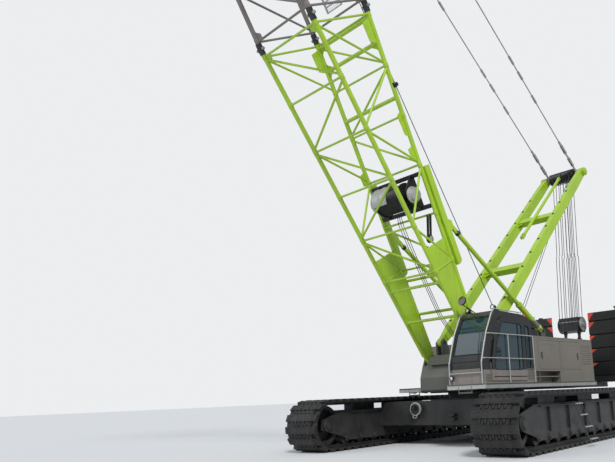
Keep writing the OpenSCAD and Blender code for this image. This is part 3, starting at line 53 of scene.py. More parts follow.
# Camera: where the photographer stood, with the photo's pitch, roll and framing.
# The image is 615 x 462 pixels; the focal length and the centre of projection are in pixels.
IMAGE_W, IMAGE_H = 615, 462
FOCAL_PX, CENTRE_X, CENTRE_Y = 613.85, 430.0, 257.28
CAMERA_AT = (16.10, 12.27, 1.43)
CAMERA_HEADING = (-0.7445, -0.6676)
PITCH, ROLL = radians(12.72), radians(2.43)


def set_up(thing, right, up, back, at=(0, 0, 0)):
    """Puts an object into the scene, with its three axes and its place."""
    for row in range(3):
        for column, axis in enumerate((right, up, back, at)):
            thing.matrix_world[row][column] = axis[row]
    bpy.context.scene.collection.objects.link(thing)


def set_camera():
    """Turns the camera by heading, pitch and roll; its axes are right, up and backwards."""
    hx, hy = CAMERA_HEADING
    forward = np.array([hx * cos(PITCH), hy * cos(PITCH), sin(PITCH)])
    level = np.array([hy, -hx, 0.0])
    rise = np.cross(level, forward)
    right = level * cos(ROLL) - rise * sin(ROLL)
    up = level * sin(ROLL) + rise * cos(ROLL)
    lens = bpy.data.cameras.new("photo_camera")
    lens.sensor_width = 36.0
    lens.lens = FOCAL_PX * lens.sensor_width / IMAGE_W
    lens.shift_x = (IMAGE_W / 2 - CENTRE_X) / IMAGE_W
    lens.shift_y = (CENTRE_Y - IMAGE_H / 2) / IMAGE_W
    lens.clip_end = 2000.0
    camera = bpy.data.objects.new("photo_camera", lens)
    set_up(camera, right, up, -forward, CAMERA_AT)
    bpy.context.scene.camera = camera


set_camera()


# Colours and shader nodes


def colour(text, alpha=1.0):
    """sRGB hex to linear: c / 12.92 up to 0.04045, above it ((c + 0.055) / 1.055) to the 2.4."""
    c = np.array([int(text[i:i + 2], 16) for i in (1, 3, 5)]) / 255.0
    c = np.where(c <= 0.04045, c / 12.92, ((c + 0.055) / 1.055) ** 2.4)
    return (*c.tolist(), alpha)


def add(tree, kind, inputs=(), **settings):
    """Adds one node with its settings. inputs maps a socket's name or number to a value, to a node's
    output, or to a node, which stands for its first output."""
    made = tree.nodes.new(kind)
    for key, value in settings.items():
        setattr(made, key, value)
    for key, value in dict(inputs).items():
        value = value.outputs[0] if isinstance(value, bpy.types.Node) else value
        if isinstance(value, bpy.types.NodeSocket):
            tree.links.new(value, made.inputs[key])
        else:
            made.inputs[key].default_value = value
    return made


def empty_material(name):
    """A material with only its output node."""
    made = bpy.data.materials.new(name)
    made.use_nodes = True
    made.node_tree.nodes.clear()
    return made, made.node_tree


NOISE, RANGE, MIX = "ShaderNodeTexNoise", "ShaderNodeMapRange", "ShaderNodeMix"
MATHS, SPLIT = "ShaderNodeMath", "ShaderNodeSeparateXYZ"
# A wave texture of scale 1 repeats every 2 pi / 20 metres
WAVE_MM = 1000.0 * 2.0 * pi / 20.0


def finish(name, base, rough, tint, grain, metal=0.0, dust=None, streak=None, coat=0.0, pattern=None):
    """A surface of one base colour with slow mottling, upright run marks, dust on faces that look up and
    near the ground, a roughness that wanders, and a fine grain. tint is a colour, its share and the size of
    its spots in mm; grain a strength and a size in mm; dust a colour and its shares on top and at the foot;
    streak a colour and a share. pattern(tree, place, shade) may lay a drawing over it and gives the new
    shade and a height or None."""
    made, tree = empty_material(name)
    place = add(tree, "ShaderNodeTexCoord").outputs["Object"]
    spots = add(tree, NOISE, {"Vector": place, "Scale": 1000 / tint[2], "Detail": 4.0, "Roughness": 0.55})
    share = add(tree, RANGE, {0: spots, 1: 0.35, 2: 0.7, 3: 0.0, 4: tint[1]})
    shade = add(tree, MIX, {0: share, 6: colour(base), 7: colour(tint[0])}, data_type="RGBA").outputs[2]
    height = None
    if pattern:
        shade, height = pattern(tree, place, shade)
    if streak:
        run = add(tree, "ShaderNodeMapping", {"Vector": place, "Scale": (9.0, 9.0, 0.7)})
        marks = add(tree, NOISE, {"Vector": run, "Scale": 1.3, "Detail": 5.0, "Roughness": 0.6})
        share = add(tree, RANGE, {0: marks, 1: 0.5, 2: 0.74, 3: 0.0, 4: streak[1]})
        shade = add(tree, MIX, {0: share, 6: shade, 7: colour(streak[0])}, data_type="RGBA").outputs[2]
    if dust:
        speck = add(tree, NOISE, {"Vector": place, "Scale": 3.1, "Detail": 6.0, "Roughness": 0.62})
        normal = add(tree, "ShaderNodeNewGeometry").outputs["Normal"]
        up = add(tree, RANGE, {0: add(tree, SPLIT, {0: normal}).outputs[2], 1: 0.2, 2: 0.95, 4: dust[1]})
        above = add(tree, SPLIT, {0: place}).outputs[2]
        low = add(tree, RANGE, {0: above, 1: 0.1, 2: 1.7, 3: dust[2], 4: 0.0})
        worn_up = add(tree, RANGE, {0: speck, 1: 0.3, 2: 0.62})
        worn_low = add(tree, RANGE, {0: speck, 1: 0.36, 2: 0.6, 3: 0.15})
        top = add(tree, MATHS, {0: up, 1: worn_up}, operation="MULTIPLY")
        foot = add(tree, MATHS, {0: low, 1: worn_low}, operation="MULTIPLY")
        share = add(tree, MATHS, {0: top, 1: foot}, operation="MAXIMUM")
        shade = add(tree, MIX, {0: share, 6: shade, 7: colour(dust[0])}, data_type="RGBA").outputs[2]
    wander = add(tree, NOISE, {"Vector": place, "Scale": 2.3, "Detail": 3.0})
    rough_map = add(tree, RANGE, {0: wander, 1: 0.3, 2: 0.7, 3: rough - 0.05, 4: rough + 0.07})
    fine = add(tree, NOISE, {"Vector": place, "Scale": 1000 / grain[1], "Detail": 2.0})
    if height is not None:
        fine = add(tree, MATHS, {0: fine, 1: 0.2, 2: height}, operation="MULTIPLY_ADD")
    bump = add(tree, "ShaderNodeBump", {"Height": fine, "Strength": grain[0], "Distance": 0.002})
    skin = add(tree, "ShaderNodeBsdfPrincipled", {
        "Base Color": shade, "Roughness": rough_map, "Metallic": metal, "Coat Weight": coat,
        "Coat Roughness": 0.12, "Normal": bump})
    add(tree, "ShaderNodeOutputMaterial", {"Surface": skin})
    return made


# Alkyd enamel on welded steel, rolled and sprayed: a soft gloss with faint orange peel
lime = finish("lime_enamel", "#a6ca28", 0.34, ("#95b422", 0.6, 1400), (0.10, 7), dust=("#b6ae94", 0.16, 0),
              streak=("#7f982a", 0.35), coat=0.25)
# Grey enamel on the middle section's tubes, duller and weathered
section_grey = finish("section_grey_enamel", "#7f7873", 0.45, ("#6a635f", 0.7, 1400), (0.12, 8),
                      dust=("#a39b8c", 0.2, 0))
# Warm grey enamel on sheet steel: even and satin, with faint run marks below the seams
house_paint = finish("warm_grey_enamel", "#767066", 0.42, ("#6c665d", 0.6, 1400), (0.08, 7),
                     dust=("#a29a89", 0.3, 0), streak=("#5f5a52", 0.4), coat=0.1)
# Dark grey-green enamel on the deck's front box and posts: satin, darker than its own grey, partly painted
# shade
deck_grey_and_shade = finish("deck_grey_enamel_and_shade", "#55574f", 0.46, ("#4a4c45", 0.6, 1400), (0.12, 9),
                  dust=("#8a8475", 0.3, 0))
# Black chassis enamel on plate steel, with road dust low down
chassis = finish("chassis_black", "#1e1f21", 0.5, ("#272728", 0.8, 1400), (0.2, 16),
                 dust=("#5f5a52", 0.4, 0.3))
# Black enamel on the counterweight's cast slabs and the winch frames
weight_black = finish("slab_black", "#0d0e0e", 0.46, ("#151616", 0.8, 1400), (0.3, 22),
                      dust=("#5d5a55", 0.2, 0), streak=("#1c1d1f", 0.5))
# Cast manganese steel shoes: rough, half bare, dusted with sand
shoe_steel = finish("cast_shoe_steel", "#252527", 0.56, ("#1c1c1e", 0.8, 380), (0.6, 20), metal=0.3,
                    dust=("#5d5951", 0.4, 0.25))
# Zinc-coated steel: pale, matt, with a faint spangle
zinc = finish("galvanised_steel", "#b5b7b3", 0.46, ("#9da09d", 0.7, 110), (0.15, 14), metal=0.45,
              dust=("#a8a193", 0.25, 0.2))
# Bare machined and oiled steel of pins and hooks
oiled_steel = finish("oiled_steel", "#4a4b4d", 0.36, ("#37383a", 0.8, 200), (0.15, 9), metal=0.9)
# Forged pendant links and rods, matt grey from weather
pendant_steel = finish("forged_pendant_steel", "#a7a5a2", 0.5, ("#8d8b88", 0.8, 330), (0.2, 11), metal=0.35)
# Moulded EPDM rubber of seals and hoses: matt black, slightly worn
rubber = finish("epdm_rubber", "#1a1a1b", 0.72, ("#232323", 0.8, 160), (0.25, 6))
# Injection-moulded black ABS of lamps, mirror and handles: fine leather-like grain, dull sheen
moulded_black = finish("moulded_abs", "#1c1d1f", 0.5, ("#242528", 0.5, 120), (0.3, 5))
# Orange-red signal enamel on thin sheet flags, chalked a little by the sun
signal_red = finish("signal_red_enamel", "#d9432a", 0.45, ("#c63a26", 0.5, 90), (0.1, 7))
# Pressed and polished reflector behind a clear lamp glass: bright with a faint ripple
lamp_glass = finish("lamp_reflector", "#c9ced2", 0.16, ("#a9b0b6", 0.5, 40), (0.35, 9), metal=0.8, coat=1.0)
# Silvered mirror glass that faces the ground: its dark colour is a painted reflection of the ground, an even
# sheen
mirror_painted_reflection = finish("silvered_mirror_painted_reflection", "#4a4644", 0.14, ("#413e3c", 0.5, 60), (0.1, 12), metal=0.8,
                      coat=0.6)


def rope_lay(tree, place, shade):
    """Strands wound round the rope: slanted bands 22 mm apart, dark between the strands: grease and painted
    shade.
    """
    wave = add(tree, "ShaderNodeTexWave", {"Vector": place, "Scale": WAVE_MM / 22}, wave_type="BANDS",
               bands_direction="DIAGONAL").outputs["Fac"]
    share = add(tree, RANGE, {0: wave, 1: 0.0, 2: 0.55})
    return add(tree, MIX, {0: share, 6: colour("#1c1d1e"), 7: shade}, data_type="RGBA").outputs[2], wave


# Greased steel wire rope: dull grey, darker in the lay between its strands, partly from grease and partly
# painted shade
wire_rope = finish("greased_wire_rope", "#3e3e3f", 0.45, ("#303031", 0.6, 250), (0.6, 8), metal=0.5,
                   pattern=rope_lay)


def cloth_weave(tree, place, shade):
    """A coarse weave: two crossed sets of threads 6 mm apart, drawn larger than real so that it shows."""
    across, along = (add(tree, "ShaderNodeTexWave", {"Vector": place, "Scale": WAVE_MM / 6},
                         bands_direction=way).outputs["Fac"] for way in "YZ")
    return shade, add(tree, MATHS, {0: across, 1: along}, operation="MULTIPLY").outputs[0]


# Woven polyester seat cover over foam
seat_cloth = finish("woven_seat_cloth", "#2a2c30", 0.85, ("#35373b", 0.5, 120), (0.5, 5), pattern=cloth_weave)

# Top of the cab's grey lower panels, and of the grey feet of the backstops' sleeves
CAB_BELT_Z, SLEEVE_FOOT_Z = 2.045, 3.72


def two_tone(level, below):
    """A pattern: one colour of paint below a height, the base colour above it."""
    def lay(tree, place, shade):
        height = add(tree, SPLIT, {0: place}).outputs[2]
        low = add(tree, RANGE, {0: height, 1: level, 2: level + 0.003, 3: 1.0, 4: 0.0})
        return add(tree, MIX, {0: low, 6: shade, 7: colour(below)}, data_type="RGBA").outputs[2], None
    return lay


# Cab sheet steel, powder coated: black window frames over warm grey lower panels
cab_coat = finish("cab_powder_coat", "#101112", 0.36, ("#18191a", 0.5, 1400), (0.08, 7),
                  dust=("#a59f92", 0.2, 0), streak=("#2b2b2c", 0.3), coat=0.2,
                  pattern=two_tone(CAB_BELT_Z, "#827972"))
# Enamel on the backstops' sleeves: lime above, warm grey on the foot that turns in its fork
sleeve_paint = finish("sleeve_enamel", "#a6ca28", 0.36, ("#95b422", 0.6, 1400), (0.1, 7), coat=0.2,
                      pattern=two_tone(SLEEVE_FOOT_Z, "#767066"))


def tinted_pane():
    """Blue-green laminated safety glass: its tint darkens what passes through, and a film of dust dulls
    it."""
    made, tree = empty_material("tinted_safety_glass")
    place = add(tree, "ShaderNodeTexCoord").outputs["Object"]
    film = add(tree, NOISE, {"Vector": place, "Scale": 5.0, "Detail": 4.0})
    rough_map = add(tree, RANGE, {0: film, 1: 0.4, 2: 0.8, 3: 0.02, 4: 0.09})
    skin = add(tree, "ShaderNodeBsdfPrincipled", {"Base Color": colour("#2b454d"), "Roughness": rough_map,
                                                  "IOR": 1.5, "Transmission Weight": 0.3, "Coat Weight": 0.3})
    add(tree, "ShaderNodeOutputMaterial", {"Surface": skin})
    return made


glass = tinted_pane()

LOOKS = {"track_shoes": shoe_steel, "undercarriage_paint": chassis, "galvanised": zinc,
         "grey_paint": house_paint, "cab_paint": cab_coat, "tinted_glass": glass, "seat_plastic": seat_cloth,
         "black_paint": weight_black, "lime_paint": lime, "wire_rope": wire_rope,
         "pendant_steel": pendant_steel, "dark_steel": oiled_steel}


def dress_nodes():
    """Each CAD node takes the look of its material slot, apart from a few with a look of their own."""
    own = {"boom_insert": section_grey, "deck_frame": chassis, "weight_tray": chassis,
           "cab_fittings": moulded_black, "front_box": deck_grey_and_shade, "deck_posts": deck_grey_and_shade,
           "stop_sleeves": sleeve_paint}
    for row in frame["record"]["subparts"]:
        look = own.get(row["node"], LOOKS[row["material_slot"]])
        for place in frame["nodes"][row["node"]].material_slots:
            place.material = look


dress_nodes()


# Shapes: each is a pair of points and face arrays. Places are in metres; profiles, radii, bends, bevels and
# half sizes are in millimetres


def loft(rings, closed=False):
    """Quads between neighbouring rings of points, with a flat cap on the first and the last ring, or, closed,
    quads from the last ring back to the first."""
    rings = np.asarray(rings, float)
    count, sides = rings.shape[:2]
    here = np.arange(count * sides).reshape(count, sides)
    turn = np.roll(here, -1, axis=1)
    ahead, turn_ahead = np.roll(here, -1, axis=0), np.roll(turn, -1, axis=0)
    quads = np.stack([here, turn, turn_ahead, ahead], axis=-1)[:count if closed else count - 1]
    caps = [] if closed else [here[:1, ::-1], here[-1:]]
    return rings.reshape(-1, 3), [quads.reshape(-1, 4)] + caps


def circle(radius, sides):
    """Points of a circle: radius times (cos a, sin a)."""
    a = np.arange(sides) * 2 * pi / sides
    return radius * np.stack([np.cos(a), np.sin(a)], axis=-1)


def rounded(path, bend, closed=False, steps=5):
    """Replaces each corner P by the curve (1-t)^2 A + 2 t (1-t) P + t^2 B between points A and B at bend
    from it."""
    path, reach = np.asarray(path, float), bend / 1000
    a = path + unit(np.roll(path, 1, 0) - path) * reach
    b = path + unit(np.roll(path, -1, 0) - path) * reach
    t = np.linspace(0, 1, steps)[None, :, None]
    curve = (1 - t) ** 2 * a[:, None] + 2 * t * (1 - t) * path[:, None] + t ** 2 * b[:, None]
    if closed:
        return curve.reshape(-1, 3)
    return np.concatenate([path[:1], curve[1:-1].reshape(-1, 3), path[-1:]])


def tube(path, radius, sides=8, bend=0, closed=False):
    """A round bar along a path, whose corners are first rounded by bend: at each point a circle square to
    the mean of the two directions there, widened by one over the cosine of half the angle between them."""
    path = rounded(path, bend, closed) if bend else np.asarray(path, float)
    ahead, back = np.roll(path, -1, 0) - path, path - np.roll(path, 1, 0)
    if not closed:
        ahead[-1], back[0] = back[-1], ahead[0]
    ahead, back = unit(ahead), unit(back)
    along = unit(ahead + back)
    flat = np.linalg.svd(path - path.mean(0))[2][2]
    side = unit(np.cross(along, flat))
    wide = 1.0 / np.sum(along * ahead, axis=1, keepdims=True)
    side, up = side * wide, np.cross(side, along)
    ring = circle(radius / 1000, sides)
    return loft(path[:, None] + ring[:, :1] * side[:, None] + ring[:, 1:] * up[:, None], closed)


def ring_round(axis, radius, sides):
    """The axis with unit length, and the points of a circle round it."""
    axis = unit(axis)
    side = unit(np.cross(axis, X if abs(axis[0]) < 0.8 else Y))
    ring = circle(radius, sides)
    return axis, ring[:, :1] * side + ring[:, 1:] * np.cross(axis, side)


def turned(profile, at, axis, sides=32, closed=False):
    """A turned body: profile gives by turns a distance along the axis and the radius there."""
    axis, ring = ring_round(axis, 1.0, sides)
    profile = np.reshape(profile, (-1, 2)) / 1000
    return loft((np.asarray(at) + profile[:, :1] * axis)[:, None] + profile[:, 1:, None] * ring, closed)


def inset(outline, depth):
    """Moves each corner of a flat outline inwards, along its bisector, until both edges have moved by
    depth."""
    outline = np.asarray(outline, float)
    step = unit(np.roll(outline, -1, 0) - outline)
    x, y = outline.T
    sense = np.sign(np.sum(x * np.roll(y, -1) - y * np.roll(x, -1)))
    normal = sense * np.stack([-step[:, 1], step[:, 0]], axis=-1)
    before = np.roll(normal, 1, 0)
    return outline + depth * (normal + before) / (1 + np.sum(normal * before, axis=1, keepdims=True))


def prism(outline, low, high, axis=1, bevel=4):
    """An outline carried along an axis from low to high, drawn in by bevel at both ends. Its two numbers
    are the other two axes in order."""
    b = bevel / 1000
    small = inset(outline, b)
    return loft([np.insert(np.asarray(line, float), axis, level, axis=1) for line, level in (
        (small, low), (outline, low + b), (outline, high - b), (small, high))])


def block(corner, opposite, bevel=5):
    """A block between two corners, whose edges are all cut at 45 degrees by bevel."""
    (x0, y0, z0), (x1, y1, z1) = np.sort([corner, opposite], axis=0)
    b = bevel / 1000
    outline = [(x0 + b, y0), (x1 - b, y0), (x1, y0 + b), (x1, y1 - b),
               (x1 - b, y1), (x0 + b, y1), (x0, y1 - b), (x0, y0 + b)]
    return prism(outline, z0, z1, axis=2, bevel=bevel / 2)


def slab(middle, half, bevel=5):
    """A block given by its middle and its half sizes."""
    middle, half = np.array(middle), np.array(half) / 1000
    return block(middle - half, middle + half, bevel)


def strip(x0, x1, z0, z1, y, proud, bevel=3):
    """A flat bar on a side wall at y, sunk in by 4 mm and standing proud of it."""
    return block((x0, y - 0.004, z0), (x1, y + proud / 1000, z1), bevel)


def repeated(part, offsets):
    """Copies of a part moved by each offset."""
    points, faces = part
    offsets = np.asarray(offsets, float)
    shift = (np.arange(len(offsets)) * len(points))[:, None, None]
    return ((points + offsets[:, None]).reshape(-1, 3),
            [(face + shift).reshape(-1, face.shape[1]) for face in faces])


def mirrored(parts):
    """Mirror images of parts across the middle plane."""
    return [(points * (1, -1, 1), faces) for points, faces in parts]


def both(*parts):
    """Parts and their mirror images."""
    return [*parts, *mirrored(parts)]


def bolts(at, axis, ring_radius, count, size=18, height=14):
    """Six-sided bolt heads on a circle round an axis."""
    head = turned((-2, size, height * 0.8, size, height, size * 0.8), (0, 0, 0), axis, 6)
    return repeated(head, np.asarray(at) + ring_round(axis, ring_radius / 1000, count)[1])


# Axes that leaning parts are drawn in: an origin, and rows along, across and square to both


def leaning(origin, angle):
    """Axes turned upwards about Y by an angle in degrees: along, Y, and square to both."""
    c, s = cos(radians(angle)), sin(radians(angle))
    return np.array(origin, float), np.array([[c, 0, s], [0, 1, 0], [-s, 0, c]])


WORLD = np.zeros(3), np.eye(3)
BOOM = leaning((1.47, 0, 2.54), 59.0)
MAST = leaning((1.02, 0, 3.09), 135.6)
MAST_LENGTH = 10.3
MAST_HEAD = MAST[0] + MAST_LENGTH * MAST[1][0]
FALL_FOOT = np.array([-5.85, 0, 3.30])
FALL = leaning(FALL_FOOT, -degrees(atan2(*(MAST_HEAD - FALL_FOOT)[[0, 2]])))
STOP_HEAD = BOOM[0] + np.array([3.9, 0, 0.86]) @ BOOM[1]
STOP_FOOT = np.array([-1.80, 0, 3.40])
STOP = leaning(STOP_FOOT, degrees(atan2(*(STOP_HEAD - STOP_FOOT)[[2, 0]])))
TRACK_TURN = radians(7.0)
TRACK = np.zeros(3), np.array([(cos(TRACK_TURN), sin(TRACK_TURN), 0),
                               (-sin(TRACK_TURN), cos(TRACK_TURN), 0), Z])
AXES = {"undercarriage": TRACK, "boom": BOOM, "boom_winch": BOOM, "mast": MAST, "fall_foot": FALL,
        "stop_sleeve_pair": STOP, "stop_tube_pair": STOP}


def placed(part, axes):
    """A part drawn in some axes, set into the world."""
    return axes[0] + part[0] @ axes[1], part[1]


def piece(name, parts, body, slot, look=None, axes=None, sharp=35.0):
    """One object out of closed parts, drawn in its body's axes unless others are given. Each part is turned
    so that the signed volume of the fans of its faces is positive, so that its faces point outwards."""
    points, corners, sizes, total = [], [], [], 0
    for part in parts:
        place, faces = placed(part, axes or AXES.get(body, WORLD))
        local = place - place.mean(0)
        volume = sum(np.sum(np.cross(local[face[:, 0]], local[face[:, k]]) * local[face[:, k + 1]])
                     for face in faces for k in range(1, face.shape[1] - 1))
        for face in faces:
            face = face if volume > 0 else face[:, ::-1]
            corners.append((face + total).ravel())
            sizes.append(np.full(len(face), face.shape[1]))
        points.append(place)
        total += len(place)
    corners, sizes = np.concatenate(corners), np.concatenate(sizes)
    mesh = bpy.data.meshes.new(name)
    mesh.vertices.add(total)
    mesh.vertices.foreach_set("co", np.concatenate(points).ravel())
    mesh.loops.add(len(corners))
    mesh.loops.foreach_set("vertex_index", corners)
    mesh.polygons.add(len(sizes))
    mesh.polygons.foreach_set("loop_start", np.cumsum(sizes) - sizes)
    mesh.update(calc_edges=True)
    mesh.validate()
    mesh.set_sharp_from_angle(angle=radians(sharp))
    mesh.materials.append(look or LOOKS[slot])
    made = bpy.data.objects.new(name, mesh)
    bpy.context.scene.collection.objects.link(made)
    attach(made, body)
    return made


# Tracks

TRACK_Y, END_X, LOOP_Z, BASE_R = 3.10, 4.375, 0.725, 0.655
LOOP_RUN = 4 * END_X + 2 * pi * BASE_R
SHOES = 68
SHOE = LOOP_RUN / SHOES


def on_loop(points):
    """Bends points along, across and outwards onto the track's loop: along the lower run, round the front
    end, back along the upper run and round the rear end."""
    u, y, off = points.T
    v, r, arc = u % LOOP_RUN, BASE_R + off, pi * BASE_R
    run = 2 * END_X
    front = -pi / 2 + (v - run) / BASE_R
    rear = pi / 2 + (v - 2 * run - arc) / BASE_R
    parts = [v < run, v < run + arc, v < 2 * run + arc]
    x = np.select(parts, [v - END_X, END_X + r * np.cos(front), END_X - (v - run - arc)],
                  -END_X + r * np.cos(rear))
    z = np.select(parts, [-r, r * np.sin(front), r], r * np.sin(rear))
    return np.stack([x, y, z + LOOP_Z], axis=-1)


def on_shoes(shape):
    """A shape drawn on the first shoe, repeated on each shoe and bent onto the loops of both tracks."""
    points, faces = repeated(shape, np.arange(SHOES)[:, None] * SHOE * X)
    return [(on_loop(points) + y * Y, faces) for y in (-TRACK_Y, TRACK_Y)]


def track_details():
    """Interlocking teeth in the gaps between the pads, end ribs and sunk bolt heads, the same on each
    shoe."""
    even = ((0.90, 0.016), (1.21, 0.004), (1.21, 0.072), (0.90, 0.060))
    odd = ((0.79, 0.004), (1.10, 0.016), (1.10, 0.060), (0.79, 0.072))
    rib = ((0.24, -0.035), (0.76, -0.035), (0.70, 0.035), (0.30, 0.035))
    rows = [((even, odd)[k % 2], -0.40 + k * 0.08, 0.0, 0.060, 6) for k in range(10)]
    rows += [(rib, y, 0.05, 0.078, 8) for y in (-0.56, 0.56)]
    teeth, heads = [], []
    for corners, y, low, high, bevel in rows:
        teeth += on_shoes(prism([(u * SHOE, y + v) for u, v in corners], low, high, axis=2, bevel=bevel))
    piece("shoe_teeth", teeth, "undercarriage", "track_shoes")
    for u in (0.36, 0.64):
        for y in (-0.46, -0.40, -0.16, 0.16, 0.40, 0.46):
            heads += on_shoes(turned((50, 17, 74.5, 16), (u * SHOE, y, 0), Z, 6))
    piece("shoe_bolts", heads, "undercarriage", "dark_steel", rubber)


track_details()


def track_frame_details():
    """Roller caps, idler hubs, drive housings' bolts, stiffeners and a step ladder on the track frames."""
    caps, plates, rails, rungs = [], [], [], []
    for side in (-1, 1):
        for out in (-1, 1):
            face = side * TRACK_Y + out * 0.35
            cap = turned((-10, 85, 18, 85, 26, 76, 26, 45, 50, 38, 54, 20), (0, 0, 0), Y * out, 20)
            hub = (-10, 170, 50, 170, 62, 155, 62, 110, 90, 100, 95, 60)
            caps += [repeated(cap, [(x, face, 0.33) for x in np.linspace(-3.555, 3.555, 12)]),
                     turned(hub, (END_X, face, LOOP_Z), Y * out),
                     bolts((END_X, face + out * 0.062, LOOP_Z), Y * out, 134, 10)]
            plates += [block((x - 0.012, face - out * 0.005, 0.46), (x + 0.012, face + out * 0.06, 1.06), 4)
                       for x in (-2.9, -1.7, -0.55, 0.55, 1.7, 2.9)]
            plates.append(block((-3.4, face - out * 0.005, 1.06), (3.4, face + out * 0.07, 1.085)))
        face = side * (TRACK_Y + 0.35)
        caps += [bolts((-END_X, face + side * lift, LOOP_Z), Y * side, radius, count, 16)
                 for radius, count, lift in ((265, 20, 0.12), (170, 12, 0.19))]
        caps.append(turned((188, 110, 220, 105, 228, 90, 228, 20), (-END_X, face, LOOP_Z), Y * side))
        foot, head = np.array([1.72, side * 4.10, 0.14]), np.array([1.72, side * 3.74, 1.10])
        rails += [tube([head + (x, -side * 0.31, 0), head + (x, side * 0.02, 0.02), foot + (x, 0, 0)],
                       14, 10, 70) for x in (-0.22, 0.22)]
        for share in (0.02, 0.32, 0.63, 0.94):
            at = head + (foot - head) * share + (0, side * 0.04, 0)
            rungs += [slab(at, (220, 35, 12), 4), repeated(turned((0, 14, 16, 12), at + (0, 0, 0.002), Z, 8),
                                                           np.linspace(-0.17, 0.17, 6)[:, None] * X)]
    piece("roller_caps", caps, "undercarriage", "undercarriage_paint")
    piece("frame_stiffeners", plates, "undercarriage", "undercarriage_paint")
    piece("step_rails", rails, "undercarriage", "undercarriage_paint")
    piece("track_steps", rungs, "undercarriage", "galvanised")


track_frame_details()


def carbody_details():
    """Slewing ring bolts, the jack feet's dished pads with a hanging handle, and pipes on the carbody's
    ends."""
    ring = bolts((0, 0, 1.435), Z, 1195, 60, 20, 24)
    piece("ring_bolts", [ring], "undercarriage", "dark_steel", axes=WORLD)
    feet, handles, lines = [], [], []
    for s in (-1, 1):
        for y in (-1.27, 1.27):
            at = (s * 2.139, y, 1.06)
            feet += [turned((-10, 155, 6, 160, 12, 150, 12, 100, 4, 85, 4, 30), at, X * s, 28),
                     bolts(at, X * s, 125, 8, 11, 18)]
            drop = ((2.133, -0.07, 0.93), (2.155, -0.07, 0.80), (2.155, 0.07, 0.80), (2.133, 0.07, 0.93))
            handles.append(tube([(s * x, y + d, z) for x, d, z in drop], 10, 10, 50))
        for k in range(3):
            y = 0.85 - 0.04 * k
            run = ((1.50, -y), (1.525, 0.05 - y), (1.525, y - 0.05), (1.50, y))
            lines.append(tube([(s * x, y, 1.16 + 0.05 * k) for x, y in run], 12, 8, 20))
        lines += [block((s * 1.498, y - 0.02, 1.13), (s * 1.545, y + 0.02, 1.29), 3)
                  for y in (-0.55, 0.0, 0.55)]
        lines += [turned((-5, 60, 30, 60, 38, 50, 38, 20, 60, 18), (s * 1.5, y, 0.78), X * s, 20)
                  for y in (-0.72, 0.72)]
    piece("jack_pad_faces", feet, "undercarriage", "dark_steel", moulded_black)
    piece("jack_handles", handles, "undercarriage", "galvanised")
    piece("carbody_pipes", lines, "undercarriage", "undercarriage_paint", oiled_steel)


carbody_details()


# Deck and houses

DECK_Z, WALK_Y = 1.69, 2.43
HOUSE_X0, HOUSE_X1, HOUSE_Y, HOUSE_TOP = -3.43, 0.24, 2.05, 3.08
LATCH = [(-0.045, 2.445), (0.045, 2.445), (0.045, 2.605), (-0.045, 2.605)]


def catwalk_details():
    """Rounded lips along the catwalks' free edges, brackets, hanging steps, and tread dimples on the
    plate."""
    lips, treads = [], []
    for s, front in ((1, 3.20), (-1, 1.50)):
        edge, low, step_y = s * (WALK_Y + 0.002), DECK_Z - 0.012, s * 1.75
        lips += [tube([(0.02, edge, low), (front + 0.002, edge, low), (front + 0.002, s * 1.16, low)],
                      17, 12, 60),
                 tube([(x, s * (HOUSE_Y + 0.062), DECK_Z - 0.010) for x in (HOUSE_X0, 0)], 14, 12)]
        bracket = [(s * y, z) for y, z in ((2.03, 1.558), (2.434, 1.575), (2.434, 1.548), (2.13, 1.52))]
        lips += [prism(bracket, x - 0.01, x + 0.01, axis=0, bevel=3)
                 for x in np.arange(0.5, front - 0.2, 0.55)]
        lips.append(block((front - 0.02, step_y - 0.24, 1.45), (front + 0.005, step_y + 0.24, 1.49), 6))
        lips += [block((front - 0.022, y - 0.012, 1.45), (front + 0.002, y + 0.012, 1.64), 4)
                 for y in (step_y - 0.22, step_y + 0.22)]
        xs, ys = np.meshgrid(np.arange(0.30, front - 0.10, 0.085), np.arange(2.335, WALK_Y - 0.02, 0.05))
        treads.append(repeated(turned((-2, 19, 4, 14), (0, 0, DECK_Z), Z, 8),
                               np.stack([xs.ravel(), s * ys.ravel(), np.zeros(xs.size)], axis=-1)))
    # Everything here but the dimples takes the dark deck grey instead of its zinc: painted shade along the
    # catwalks' edges
    piece("catwalk_lips", lips, "upper", "galvanised", deck_grey_and_shade)
    piece("tread_dimples", treads, "upper", "galvanised")


catwalk_details()


def louvre(x0, x1, z0, z1, y, count):
    """A louvred vent on a side wall: a frame of four bars and slanting blades between them."""
    left, right, step = x0 - 0.02, x1 + 0.02, (z1 - z0) / count
    bars = ((left, right, z0 - 0.02, z0), (left, right, z1, z1 + 0.02),
            (left, x0, z0, z1), (x1, right, z0, z1))
    slant = np.array([(-0.004, 0), (0.014, 0.25), (0.014, 0.36), (-0.004, 0.86)]) * (1, step) + (y, 0)
    blade = prism(slant, x0, x1, axis=0, bevel=2)
    blades = repeated(blade, [(0, 0, z0 + k * step) for k in range(count)])
    return [strip(*bar, y, 12) for bar in bars] + [blades]


